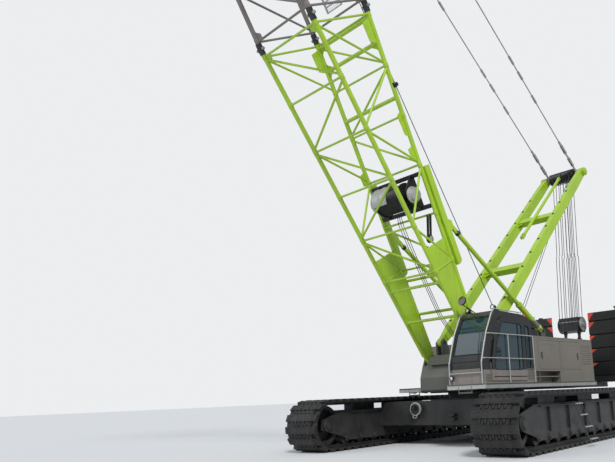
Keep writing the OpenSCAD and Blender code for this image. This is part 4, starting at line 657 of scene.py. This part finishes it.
def house_details():
    """Pressed seams, door ribs and latches, vents, roof hatches, an exhaust with its rain cap and step
    edges."""
    seams = [strip(x - 0.008, x + 0.008, 1.72, HOUSE_TOP - 0.01, HOUSE_Y, 6)
             for x in (HOUSE_X0 + 0.02, -2.62, -1.315, -0.02, HOUSE_X1 - 0.02)]
    seams += [strip(HOUSE_X0, HOUSE_X1, HOUSE_TOP - 0.045, HOUSE_TOP - 0.02, HOUSE_Y, 8, 4),
              strip(HOUSE_X0, -1.27, 1.70, 1.725, HOUSE_Y, 8, 4),
              strip(-1.26, 0.16, 2.022, 2.042, HOUSE_Y, 12, 4)]
    seams += [block((x - 0.01, 1.10, HOUSE_TOP - 0.002), (x + 0.01, HOUSE_Y - 0.02, HOUSE_TOP + 0.006), 3)
              for x in (-3.1, -2.3, -1.5, -0.7)]
    piece("house_seams", both(*seams), "upper", "grey_paint")
    for side in ("left", "right"):
        for end, x0, x1, grip in (("front", -1.175, -0.175, -0.225), ("rear", -2.455, -1.455, -2.405)):
            ribs = [strip(x0, x1, z, z + 0.02, HOUSE_Y, 4, 2) for z in (2.18, 2.85)]
            latch = [prism(np.add(LATCH, (grip, 0)), HOUSE_Y - 0.008, HOUSE_Y + 0.006, bevel=3),
                     turned((-4, 22, 14, 22, 18, 16), (grip, HOUSE_Y + 0.002, 2.41), Y, 16)]
            if side == "right":
                ribs, latch = mirrored(ribs), mirrored(latch)
            door = f"door_{side}_{end}"
            piece(door + "_ribs", ribs, door + "_set", "grey_paint")
            piece(door + "_latch", latch, door + "_set", "dark_steel", moulded_black)
    piece("house_vents", both(*louvre(-3.25, -2.72, 2.28, 2.86, HOUSE_Y, 9)), "upper", "grey_paint")
    roof = []
    for y in (-1.56, 1.56):
        roof += [block((-2.95, y - 0.33, HOUSE_TOP - 0.002), (-1.75, y + 0.33, HOUSE_TOP + 0.03), 12),
                 block((-1.05, y - 0.30, HOUSE_TOP - 0.002), (-0.10, y + 0.30, HOUSE_TOP + 0.025), 12)]
        bow = np.add([(-0.09, 0.02), (-0.09, 0.07), (0.09, 0.07), (0.09, 0.02)], (y, HOUSE_TOP))
        roof += [tube(np.insert(bow, 0, x, axis=1), 8, 8, 30) for x in (-2.35, -0.58)]
    piece("roof_hatches", roof, "upper", "grey_paint")
    pipe = (-5, 110, 20, 110, 30, 78, 320, 78, 340, 70, 340, 60, 100, 60)
    stack = [turned(pipe, (-3.1, -1.56, HOUSE_TOP), Z, 28),
             turned((0, 30, 15, 100, 30, 100, 50, 20), (-3.1, -1.56, HOUSE_TOP + 0.38), Z, 24)]
    stack += [tube([(x, -1.56, HOUSE_TOP + 0.30), (x, -1.56, HOUSE_TOP + 0.40)], 8) for x in (-3.16, -3.04)]
    piece("exhaust_stack", stack, "upper", "dark_steel")
    edges = [block((-1.24, 1.735, 2.024), (0.18, HOUSE_Y + 0.002, 2.030), 2)]
    lip = [(-0.16, 1.86), (0.16, 1.86), (0.16, 1.868), (-0.16, 1.868)]
    edges += [prism(np.add(lip, (x, 0)), 1.78, 1.98, bevel=2) for x in (-0.95, -0.53, -0.11)]
    piece("step_edges", both(*edges), "upper", "black_paint", rubber)


house_details()


# Cab

CAB_Y0, CAB_Y1, CAB_TOP = 1.145, 2.31, 3.6703
PANE_Y = (CAB_Y0 + 0.09, CAB_Y1 - 0.09)
FRONT_LINE = np.array([(3.08, 1.69), (3.08, 2.25), (2.94, 2.68), (2.80, 3.06), (2.52, 3.53), (2.38, 3.67)])


def seal(outline, y, bend=50):
    """A rubber bead round a window of the cab's side at y."""
    return tube(np.insert(np.asarray(outline, float), 1, y, axis=1), 11, 10, bend, closed=True)


def front_seal(z0, z1):
    """A rubber bead on the cab's front, which follows its bent front line between two heights."""
    z = np.array([z0, *(z for z in FRONT_LINE[:, 1] if z0 < z < z1), z1])
    x = np.interp(z, FRONT_LINE[:, 1], FRONT_LINE[:, 0]) + 0.006
    up, down = (np.stack([x, np.full(len(x), y), z], axis=-1) for y in PANE_Y)
    return tube(np.concatenate([up, down[::-1]]), 13, 10, closed=True)


def tipped(angle):
    """A direction forwards, tipped by an angle in degrees from straight up."""
    return np.array([sin(radians(angle)), 0, cos(radians(angle))])


def cab_details():
    """Seals, wiper, door furniture, vents, lamps, mirror glass and the red lamp of the cab."""
    door = [(1.25, 2.11), (1.31, 2.05), (2.55, 2.05), (2.60, 2.13), (2.45, 2.80), (2.20, 3.31), (2.12, 3.36),
            (1.31, 3.34), (1.25, 3.28)]
    side = [(0.80, 2.15), (1.01, 2.13), (1.01, 3.33), (0.84, 3.29), (0.80, 3.24)]
    right = [(0.97, 2.25), (2.66, 2.25), (2.52, 2.81), (2.22, 3.35), (0.97, 3.31)]
    rear = [(0.668, y, z) for y, z in ((1.345, 2.59), (2.11, 2.59), (2.11, 3.19), (1.345, 3.19))]
    seals = [seal(side, CAB_Y1 + 0.002, 30), seal(right, CAB_Y0 - 0.002), front_seal(2.47, 3.52),
             front_seal(1.99, 2.278), tube(rear, 11, 10, 50, closed=True)]
    piece("window_seals", seals, "upper", "cab_paint", rubber)
    leaf = [seal(door, 2.3505, 28), block((1.42, 2.345, 2.07), (1.455, 2.357, 3.34), 4)]
    piece("door_seal", leaf, "cab_door_set", "cab_paint", rubber)
    bow = [(2.38, y, z) for y, z in ((2.345, 2.62), (2.395, 2.62), (2.395, 2.42), (2.345, 2.42))]
    lock = [(2.34, 2.50), (2.42, 2.50), (2.42, 2.56), (2.34, 2.56)]
    grip = [tube(bow, 10, 10, 30), prism(lock, 2.345, 2.362, bevel=3),
            block((1.12, 2.347, 1.85), (2.68, 2.356, 1.875), 3)]
    piece("door_grip", grip, "cab_door_set", "cab_paint", moulded_black)
    wiper = [turned((-10, 30, 20, 30, 30, 20), (3.045, 2.13, 2.35), (0.95, 0, 0.31), 18),
             tube([(3.065, 2.13, 2.36), (2.990, 2.12, 2.62), (2.925, 2.10, 2.84)], 7),
             tube([(3.015, 2.10, 2.52), (2.935, 2.09, 2.78), (2.822, 2.08, 3.12)], 9)]
    piece("wiper", wiper, "upper", "cab_paint", moulded_black)
    vents = louvre(0.74, 1.02, 1.80, 2.06, CAB_Y1, 6) + louvre(2.74, 2.98, 1.76, 1.92, CAB_Y1, 4)
    piece("cab_vents", vents, "upper", "grey_paint")
    trim = [strip(2.735, 2.765, 1.74, 2.24, CAB_Y1, 10, 4), strip(0.70, 1.09, 1.975, 1.992, CAB_Y1, 10, 4),
            block((3.076, CAB_Y0 + 0.03, 1.972), (3.092, CAB_Y1 - 0.03, 2.085))]
    piece("cab_trim", trim, "upper", "grey_paint")
    # A dark band laid over the lower windscreen: a painted reflection of the ground in the glass
    pane = [(3.077, 2.085), (3.083, 2.085), (3.083, 2.25), (3.0115, 2.47), (3.0055, 2.47), (3.077, 2.25)]
    piece("lower_pane_painted_reflection", [prism(pane, *PANE_Y, bevel=1)], "upper", "tinted_glass", moulded_black)
    cups, lenses, ahead = [], [], tipped(80)
    for y in (CAB_Y0 + 0.13, CAB_Y1 - 0.13):
        at = np.array([2.25, y, CAB_TOP + 0.0903]) + 0.09 * ahead
        cups.append(turned((-20, 72, 12, 74, 16, 66, 4, 58, 2, 20), at, ahead, 28))
        lenses.append(turned((-2, 56, 10, 50, 14, 30, 16, 10), at, ahead, 24))
    at = (3.10, CAB_Y0 + 0.10, 1.86)
    cups.append(turned((-30, 30, 0, 62, 50, 68, 54, 60, 45, 54, 40, 20), at, X, 28))
    lenses.append(turned((36, 52, 50, 44, 54, 20), at, X, 24))
    piece("lamp_cups", cups, "upper", "cab_paint", moulded_black)
    piece("lamp_lenses", lenses, "upper", "tinted_glass", lamp_glass)
    at = (0.86, CAB_Y1 - 0.10, CAB_TOP - 0.125)
    dome = turned((0, 55, 20, 55, 28, 45, 90, 40, 112, 26, 118, 8), at, Z, 24)
    piece("marker_lamps", [dome], "upper", "tinted_glass", signal_red)
    piece("marker_base", [turned((-60, 70, 0, 70, 10, 60), at, Z, 24)], "upper", "cab_paint", moulded_black)
    # The mirror, whose dark face is a painted reflection of the ground
    at = np.array([2.72, CAB_Y0 + 0.295, CAB_TOP + 0.3303]) + 0.040 * tipped(78)
    face = turned((-1, 118, 3, 118, 4, 112, 4.5, 20), at, tipped(78))
    piece("mirror_face", [face], "upper", "tinted_glass", mirror_painted_reflection)


cab_details()


def cushion(name, centre, size, crown, lean=0):
    """A crowned pad: a rounded block whose top and bottom rise by crown times (1-u^4)(1-v^4), whose sides
    pull in between the corners, and whose seams sink where |u| is 0.62, leaning back by an angle about
    Y."""
    n = 25
    u, v = np.meshgrid(np.linspace(-1, 1, n), np.linspace(-1, 1, n), indexing="ij")
    edge = np.sqrt(np.clip(np.minimum(1 - np.abs(u), 1 - np.abs(v)) / 0.16, 0, 1))
    swell = crown * (1 - u ** 4) * (1 - v ** 4) - 0.012 * np.exp(-((np.abs(u) - 0.62) / 0.05) ** 2)
    half = np.array(size) / 2
    top = np.stack([u * half[0] * (1 - 0.03 * (1 - v ** 2)), v * half[1] * (1 - 0.03 * (1 - u ** 2)),
                    half[2] * (0.55 + 0.45 * edge) + swell], axis=-1).reshape(-1, 3)
    low = top * (1, 1, -1)
    here = np.arange(n * n).reshape(n, n)
    rim = np.concatenate([here[0], here[1:, -1], here[-1, -2::-1], here[-2:0:-1, 0]])
    quads = np.stack([here[:-1, :-1], here[1:, :-1], here[1:, 1:], here[:-1, 1:]], axis=-1).reshape(-1, 4)
    wall = loft(np.stack([top[rim], low[rim]]))[1][0]
    c, s = cos(radians(lean)), sin(radians(lean))
    points = np.concatenate([top, low]) @ np.array([[c, 0, -s], [0, 1, 0], [s, 0, c]]) + centre
    faces = [quads, quads[:, ::-1] + n * n, np.concatenate([rim, rim + n * n])[wall]]
    made = piece(name, [(points, faces)], "upper", "seat_plastic", sharp=180)


SEAT_Y = 1.7275
cushion("seat_pad", (1.47, SEAT_Y, 2.262), (0.54, 0.52, 0.09), 0.02)
cushion("back_pad", (1.283, SEAT_Y, 2.57), (0.60, 0.48, 0.09), 0.018, lean=-100)
cushion("head_pad", (1.205, SEAT_Y, 2.985), (0.20, 0.30, 0.09), 0.012, lean=-98)


def cab_inside():
    """A display on its post, pedals, and arm rests with levers."""
    parts = [block((2.28, 1.56, 2.44), (2.31, 1.90, 2.68), 8),
             tube([(2.36, SEAT_Y, 2.44), (2.30, SEAT_Y, 2.56)], 18, 10)]
    parts += [block((2.44, y, 1.745), (2.62, y + 0.10, 1.79), 10) for y in (1.60, 1.76)]
    lever = (0, 50, 20, 45, 45, 30, 70, 18, 160, 14, 170, 24, 220, 26, 240, 12)
    for y in (1.3925, 2.0625):
        parts += [block((1.28, y - 0.075, 2.385), (1.78, y + 0.075, 2.43), 15),
                  turned(lever, (1.72, y, 2.428), (0.15, 0, 1), 20)]
    piece("cab_controls", parts, "upper", "seat_plastic", moulded_black)


cab_inside()


# Winches and counterweight

DRUM_Z = 2.56
DRUMS = {"main_winch": -1.0, "second_winch": -2.06, "boom_hoist_winch": -4.3}
WINCH = (5.12, 0.33)


def wind_rope(name, x, z, body):
    """Rope wound on a drum: a turned profile of half circles, one to a turn."""
    radius, half, pitch = 330, 447, 24
    y = np.arange(-half, half, pitch / 6)
    profile = np.stack([y, radius + 30 + 11 * np.abs(np.sin(pi * (y + half) / pitch))], axis=-1)
    profile = np.concatenate([[(-half, radius - 10)], profile, [(half, radius - 10)]])
    piece(name, [turned(profile, (x, 0, z), Y, 40)], body, "wire_rope", sharp=60)


for winch, drum_x in DRUMS.items():
    wind_rope(winch + "_rope", drum_x, DRUM_Z, winch)
wind_rope("boom_winch_rope", *WINCH, "boom_winch")


def winch_details():
    """Gear cases with cooling ribs outside the winch stands, and bolts on them and on the drums."""
    ribs, gears = [(0, 200), (20, 200), (30, 170)], []
    for k in range(5):
        foot = 40 + 20 * k
        ribs += [(foot, 170), (foot + 3, 185), (foot + 13, 185), (foot + 16, 170)]
    ribs += [(150, 150), (190, 120), (200, 50)]
    for x in DRUMS.values():
        gears += both(turned(ribs, (x, 0.768, DRUM_Z), Y, 28), bolts((x, 0.788, DRUM_Z), Y, 187, 14, 10, 12))
    piece("winch_gears", gears, "upper", "black_paint")
    for body, x in DRUMS.items():
        piece(body + "_bolts", both(bolts((x, 0.489, DRUM_Z), Y, 200, 12, 13)), body, "dark_steel")


winch_details()

SLAB_TOPS = (2.420, 2.9406, 3.461, 3.981, 4.331)
SLAB_HALVES = (0.26, 0.26, 0.26, 0.26, 0.175)
FLAG_DROPS = (0.14, 0.15, 0.18, 0.25, 0.30)


def weight_details():
    """Signal flags at the slabs' inner front corners, lifting eyes, and ribs and caps in the side
    recesses."""
    flags, ribs = [], []
    for top, half, drop in zip(SLAB_TOPS, SLAB_HALVES, FLAG_DROPS):
        flag, middle = [(0.805, top - 0.03), (1.06, top - 0.03), (0.805, top - 0.03 - drop)], top - half
        flags.append(prism(flag, -5.744, -5.733, axis=0, bevel=2))
        ribs += [slab((x, 2.93, middle), (12, 15, 80), 3) for x in (-6.42, -6.32, -6.22)]
        ribs += [turned((0, 45, 12, 45, 18, 30), (x, 2.976, middle), Y, 16) for x in (-6.72, -5.92)]
    piece("slab_flags", both(*flags), "upper", "black_paint", signal_red)
    eyes = [turned((100, 62, 120, 100, 145, 100, 155, 90, 158, 20), (x, 1.89, SLAB_TOPS[-1]), Z, 28)
            for x in (-6.65, -5.99)]
    for x in (-6.60, -6.04):
        bow = np.add([(-0.07, 0, 4.325), (-0.07, 0, 4.42), (0.07, 0, 4.42), (0.07, 0, 4.325)], (x, 2.70, 0))
        eyes.append(tube(bow, 14, 10, 60))
    piece("lifting_eyes", both(*eyes), "upper", "dark_steel")
    piece("slab_ribs", both(*ribs), "upper", "black_paint")


weight_details()


# Boom hoist


def fall_details():
    """The lower block's ribbed end plates with bolts, its light strips and dark ribs, and collars on its
    links."""
    end, rings = 0.427, [(-10, 270)]
    for r in (260, 200, 140):
        rings += [(10, r), (22, r - 6), (22, r - 22), (10, r - 28)]
    rings += [(10, 90), (45, 80), (55, 50), (55, 20)]
    pale = both(turned(rings, (0, end + 0.05, 0.64), Y, 36), bolts((0, end + 0.06, 0.64), Y, 268, 16, 11))
    dark = both(slab((0, 0.3, 0.305), (90, 45, 25), 8),
                turned((-45, 90, -40, 100, 40, 100, 45, 90), (0, 0.3, 0.05), Y, 24))
    for x in (-0.273, 0.273):
        pale.append(slab((x, 0, 0.7375), (6, 407, 12.5), 3))
        dark += [slab((x, y, 0.64), (10, 14, 240), 4) for y in (-0.34, -0.17, 0, 0.17, 0.34)]
    piece("fall_block_ends", pale, "fall_foot", "pendant_steel")
    piece("fall_block_ribs", dark, "fall_foot", "black_paint")


fall_details()


def mast_leg(s, n):
    """A point over a mast leg's middle, which leans in evenly towards the head, n above the mast's plane."""
    return np.array([s, 0.915 - 0.085 * s / MAST_LENGTH, n])


def mast_details():
    """Head bosses with bolts, the hoop over the sheaves, pipe clamps along the legs, gussets at the beams."""
    bosses = both(turned((-10, 155, 30, 155, 40, 140, 40, 90, 70, 80, 75, 30), (MAST_LENGTH, 1.0, 0), Y),
                  bolts((MAST_LENGTH, 1.04, 0), Y, 115, 10, 12))
    piece("mast_head_bosses", bosses, "mast", "lime_paint")
    hoop = np.array([(-0.06, -0.66, 0.12), (0.10, -0.50, 0.34), (0.10, 0.50, 0.34), (-0.06, 0.66, 0.12)])
    piece("mast_rope_hoops", [tube(hoop + MAST_LENGTH * X, 14, 10, 80)], "mast", "dark_steel")
    clamps = [slab(mast_leg(s, n), (35, 35, 13)) for s in np.arange(0.9, 9.3, 0.84) for n in (-0.187, 0.187)]
    clamps.append(tube([mast_leg(0.75, 0.196), mast_leg(9.3, 0.196)], 8))
    piece("mast_clamps", both(*clamps), "mast", "dark_steel", rubber)
    plates = []
    for s in (MAST_LENGTH * 0.357, MAST_LENGTH * 0.675):
        y = mast_leg(s, 0)[1] - 0.1
        outline = np.add([(-0.30, 0.01), (0.30, 0.01), (0.12, -0.20), (-0.12, -0.20)], (s, y))
        plates += [prism(outline, n - 0.008, n + 0.008, axis=2, bevel=2) for n in (-0.06, 0.06)]
        plates += [slab((x, y - 0.005, 0), (12, 7, 170), 3) for x in (s - 0.16, s + 0.16)]
    piece("mast_gussets", both(*plates), "mast", "lime_paint")


mast_details()


def stop_details():
    """Collars and grease heads on the backstops, and the forks that hold their feet."""
    y = 1.12
    collar = (1420, 94, 1420, 104, 1430, 110, 1500, 110, 1512, 104, 1512, 94)
    collars = [turned(collar, (0, y, 0), X, 28, closed=True), bolts((1.512, y, 0), X, 83, 8, 8, 12),
               turned((200, 100, 210, 112, 260, 112, 270, 100), (0, y, 0), X, 28)]
    piece("stop_collars", both(*collars), "stop_sleeve_pair", "lime_paint")
    outline = [(-0.10, -0.09), (0.16, -0.10), (0.30, -0.06), (0.30, 0.06), (0.16, 0.10), (-0.10, 0.09)]
    forks = [prism(outline, y + d - 0.008, y + d + 0.008, bevel=3) for d in (-0.052, 0.052)]
    piece("stop_forks", both(*forks), "stop_sleeve_pair", "lime_paint")
    rings = both(turned((-30, 72, -20, 82, 50, 82, 60, 72), (4.98, y, 0), X, 24))
    piece("stop_rings", rings, "stop_tube_pair", "dark_steel")


stop_details()


# Boom

BUTT, TOP_S, HEAD_S = 10.4, 19.4, 27.8
TIP = (28.1, -0.9)
CHORDS = [(side, level) for side in (-1, 1) for level in (-1, 1)]


def chord(s, side, level):
    """A point on a chord: half width and half depth change evenly from the foot to 10.4 m, stay to 19.4 m and
    shrink to the head. side is -1 or 1 across, level -1 for the lower and 1 for the upper chord."""
    half_w = np.interp(s, (0, BUTT, TOP_S, HEAD_S), (1.010, 1.135, 1.135, 0.62))
    half_d = np.interp(s, (0, BUTT, TOP_S, HEAD_S), (0.170, 1.080, 1.080, 0.45))
    return np.array([s, side * half_w, level * half_d])


def node_places(s0, s1):
    """Places of the lacing's nodes between two ends, about 1.45 m apart."""
    return np.linspace(s0, s1, int(round((s1 - s0) / 1.45)) + 1)


def weld_collars(places):
    """Short thicker sleeves on each chord where the lacing meets it, with a rounded end on both sides."""
    sleeve = (-90, 64, -75, 72, 75, 72, 90, 64)
    return [turned(sleeve, chord(s, *line), chord(s + 0.1, *line) - chord(s, *line), 16)
            for line in CHORDS for s in places]


def gussets(places, level=1, reach=0.26):
    """Plates in the angle between the chords and the cross tubes: a quarter outline on both sides of each
    place."""
    parts = []
    outline = ((-reach, 0), (reach, 0), (reach / 2, 0.45), (0.05, 1), (-0.05, 1), (-reach / 2, 0.45))
    for s in places:
        for side in (-1, 1):
            x, y, n = chord(s, side, level)
            slope = (chord(s + 0.1, side, level)[2] - n) / 0.1
            plate = [(x + along, y - side * reach * share) for along, share in outline]
            points, faces = prism(plate, -0.007, 0.007, axis=2, bevel=2)
            parts.append((points + Z * (n + slope * (points[:, :1] - x)), faces))
    return parts


def boom_details():
    """Weld collars and corner plates on the lattice, section pins, the walkway's mesh and a small rope
    guide."""
    piece("butt_collars", weld_collars([2.95, 4.395, *node_places(5.845, 10.19)]), "boom", "lime_paint")
    piece("insert_collars", weld_collars(node_places(10.61, 19.19)), "boom", "lime_paint", section_grey)
    piece("top_collars", weld_collars(node_places(19.61, 27.74)), "boom", "lime_paint")
    plates = gussets((9.40, 10.10), 1, 0.30) + gussets((2.95,), -1, 0.30) + gussets((10.10,), -1)
    plates += gussets((19.70, 27.2), 1, 0.24) + gussets((19.70, 27.2), -1, 0.24)
    piece("corner_plates", plates, "boom", "lime_paint")
    plates = gussets((10.70, 19.10)) + gussets((10.70, 19.10), -1)
    piece("insert_corner_plates", plates, "boom", "lime_paint", section_grey)
    pins = [turned((-150, 30, -145, 42, 145, 42, 150, 30), chord(s, *line), Y, 20)
            for s in (BUTT, TOP_S) for line in CHORDS]
    piece("section_pins", pins, "boom", "pendant_steel")
    wires = [tube([(10.82, y, 1.115), (18.98, y, 1.115)], 4, 6) for y in np.linspace(-0.28, 0.28, 8)]
    cross = tube([(0, -0.29, 1.121), (0, 0.29, 1.121)], 4, 6)
    wires.append(repeated(cross, np.arange(10.9, 18.95, 0.12)[:, None] * X))
    piece("walkway_mesh", wires, "boom", "galvanised")
    x, y, n = chord(8.15, 1, 1)
    guide = [turned((-30, 20, -25, 60, -8, 45, 8, 45, 25, 60, 30, 20), (x, y + 0.10, n + 0.05), Y, 24),
             block((x - 0.07, y + 0.050, n - 0.05), (x + 0.07, y + 0.068, n + 0.09)),
             tube([(x, y + 0.05, n + 0.05), (x, y + 0.15, n + 0.05)], 14, 10)]
    piece("rope_guides", guide, "boom", "dark_steel")


boom_details()


def slotted_plate(s, side, length=0.46, width=0.26):
    """A plate that reaches down from an upper chord, with round holes drawn as turned rims on both faces."""
    x, y, n = chord(s, side, 1)
    outline = np.array([(-0.5, 0), (0.5, 0), (0.36, -1), (-0.36, -1)]) * (length, width) + (x, n)
    rims = [turned((-14, 50, -14, 62, 14, 62, 14, 50), (x + d, y, n - width * 0.7), Y, 20, closed=True)
            for d in (-length * 0.18, length * 0.18)]
    return [prism(outline, y - 0.009, y + 0.009, bevel=3)] + rims


def winch_arc(radius):
    """An arc round the in-boom winch: its middle plus radius times (cos a, sin a), a from -85 to 45
    degrees."""
    a = np.radians(np.linspace(-85, 45, 10))
    return WINCH + radius * np.stack([np.cos(a), np.sin(a)], axis=-1)


def boom_fittings():
    """Slotted plates, the in-boom winch's gear cases and cover, its hoses and guide sheave, and the head's
    trim."""
    plates = []
    for row in ((6.2, 1), (7.05, 1, 0.80, 0.22), (6.0, -1), (9.72, 1, 0.75, 0.35), (9.72, -1, 0.75, 0.35)):
        plates += slotted_plate(*row)
    piece("slotted_plates", plates, "boom", "lime_paint")
    s, n = WINCH
    gears = both(turned((0, 240, 20, 250, 50, 250, 70, 210, 160, 200, 180, 150, 200, 60), (s, 0.677, n), Y),
                 bolts((s, 0.727, n), Y, 228, 14, 11))
    piece("boom_winch_gears", gears, "boom", "galvanised")
    cover = [prism(np.concatenate([winch_arc(0.47), winch_arc(0.455)[::-1]]), -0.60, 0.05, bevel=2)]
    cover += [tube(np.insert(winch_arc(0.475), 1, y, axis=1), 12) for y in (-0.57, -0.27, 0.03)]
    piece("winch_cover", cover, "boom", "galvanised")
    hoses = []
    for k in range(3):
        y = 0.04 + 0.07 * k
        hoses.append(tube([(4.72, y, 0.10), (4.45, y, 0.02 * k - 0.02), (2.6, y - 0.03, 0.02),
                           (1.4, y + 0.02, 0), (0.7, y + 0.20, 0.02)], 10, 8, 120))
    piece("winch_hoses", hoses, "boom", "dark_steel", rubber)
    at, arm_y = (3.78, 0.80, 0.16), (0.748, 0.852)
    guide = [turned((-40, 40, -35, 125, -12, 100, 12, 100, 35, 125, 40, 40), at, Y, 28)]
    guide += [prism([(3.73, 0.16), (3.82, 0.11), (4.44, 0.50), (4.36, 0.57)], y - 0.006, y + 0.006, bevel=2)
              for y in arm_y]
    piece("guide_sheave", guide, "boom", "black_paint")
    piece("guide_cap", [turned((50, 75, 66, 75, 72, 60, 74, 20), at, Y, 24)], "boom", "galvanised")
    s, n = TIP
    head = both(turned((0, 120, 30, 120, 40, 100, 40, 30), (s, 0.64, n), Y, 28),
                bolts((s, 0.68, n), Y, 80, 6, 12))
    for y in (-0.652, 0.652):
        head += [tube([(a, y, b), (c, y, d)], 16) for a, b, c, d in (
            (27.4, -0.45, 28.0, -0.75), (27.4, 0.40, 28.15, 0.75), (27.6, -0.1, 28.35, -0.35))]
    piece("head_trim", head, "boom", "lime_paint")


boom_fittings()


def taut_ropes():
    """The hoist rope from the main drum over a guide sheave on the boom's head to the tip sheave, and the
    two ropes from the drum to the mast's head. Each is cut in two, the lower half still, the upper half on
    the boom or mast."""
    drum, middle = ((np.array(at) - BOOM[0]) @ BOOM[1].T for at in ((-1.24, 0.20, 2.93), (-0.35, 0.20, 4.32)))
    rope = tube([middle, (27.55, 0.10, 1.50), (27.78, 0.08, 1.40), (28.42, 0, -0.72)], 13)
    piece("hoist_rope", [rope], "boom", "wire_rope")
    at = (27.55, 0.10, 1.28)
    cheek = [(26.95, 0.42), (27.15, 0.40), (27.62, 1.22), (27.62, 1.34), (27.48, 1.34)]
    head = [turned((-50, 50, -45, 235, -15, 210, 15, 210, 45, 235, 50, 50), at, Y),
            turned((-100, 40, -95, 50, 95, 50, 100, 40), at, Y, 20),
            tube([(27.06, -0.52, 0.44), (27.06, 0.52, 0.44)], 50, 12)]
    head += [prism(cheek, y - 0.012, y + 0.012) for y in (0.02, 0.18)]
    piece("head_guide", head, "boom", "lime_paint")
    feet, whips, rope_y = [placed(tube([drum, middle], 13), BOOM)], [], 0.436
    for low, cut, high in (((-0.78, 2.90), (-2.976, 5.93), (-6.07, 10.20)),
                           ((-1.00, 2.975), (-3.106, 5.93), (-6.15, 10.20))):
        feet.append(tube(np.insert([low, cut], 1, rope_y, axis=1), 10))
        whips.append(tube(np.insert([cut, high], 1, rope_y, axis=1), 10))
    piece("rope_feet", feet, "upper", "wire_rope")
    piece("mast_ropes", whips, "mast", "wire_rope", axes=WORLD)


taut_ropes()


def hook_details():
    """Cheek ribs, pin caps, swivel nut and its washer on the hook block, which hangs 2.9 m below the tip
    sheaves."""
    x, y, z = BOOM[0] + np.array([TIP[0], 0, TIP[1]]) @ BOOM[1] - (0, 0, 2.9)
    trim = [turned((0, 130, 20, 130, 30, 110, 30, 70, 55, 60, 60, 20), (x, 0.259, z), Y, 28),
            bolts((x, 0.289, z), Y, 95, 8, 11)]
    trim += [slab((x + d, 0.269, z - 0.30), (12, 11, 200), 4) for d in (-0.16, 0.16)]
    piece("hook_block_trim", both(*trim), "hook_block_set", "lime_paint")
    nut = [turned((0, 90, 10, 100, 60, 100, 70, 90, 72, 62), (x, y, z - 0.74), Z, 6),
           turned((0, 75, 10, 85, 30, 85, 40, 75), (x, y, z - 0.79), Z, 28)]
    piece("hook_nut", nut, "hook_set", "dark_steel")


hook_details()


# Light and floor


def set_stage():
    """A pale floor under a soft studio sky: one broad key from the camera's side, one weak fill."""
    world = bpy.data.worlds.new("studio")
    bpy.context.scene.world = world
    world.use_nodes = True
    tree = world.node_tree
    tree.nodes.clear()
    path = add(tree, "ShaderNodeLightPath").outputs
    seen = add(tree, MATHS, {0: path["Is Camera Ray"], 1: path["Is Transmission Ray"]}, operation="MAXIMUM")
    sky = add(tree, "ShaderNodeBackground", {"Color": colour("#dfe6ee"), "Strength": 0.62})
    back = add(tree, "ShaderNodeBackground", {"Color": colour("#eceef0"), "Strength": 1.0})
    mixed = add(tree, "ShaderNodeMixShader", {0: seen, 1: sky, 2: back})
    add(tree, "ShaderNodeOutputWorld", {"Surface": mixed})
    for name, energy, angle, toward in (("key", 2.1, 12, (-0.45, -0.62, -0.72)),
                                        ("fill", 0.5, 40, (-0.8, 0.7, -0.5))):
        lamp = bpy.data.lights.new(name, "SUN")
        lamp.energy = energy
        lamp.angle = radians(angle)
        backwards = unit(-np.array(toward))
        side = unit(np.cross(Z, backwards))
        set_up(bpy.data.objects.new(name, lamp), side, np.cross(backwards, side), backwards)
    span = 400.0
    mesh = bpy.data.meshes.new("floor")
    corners = [(-span, -span, 0), (span, -span, 0), (span, span, 0), (-span, span, 0)]
    mesh.from_pydata(corners, [], [(0, 1, 2, 3)])
    floor = bpy.data.objects.new("floor", mesh)
    look, tree = empty_material("floor_matt")
    skin = add(tree, "ShaderNodeBsdfPrincipled", {"Base Color": colour("#d9dadb"), "Roughness": 0.9})
    add(tree, "ShaderNodeOutputMaterial", {"Surface": skin})
    mesh.materials.append(look)
    bpy.context.scene.collection.objects.link(floor)
    bpy.context.scene.view_settings.view_transform = "Standard"


set_stage()
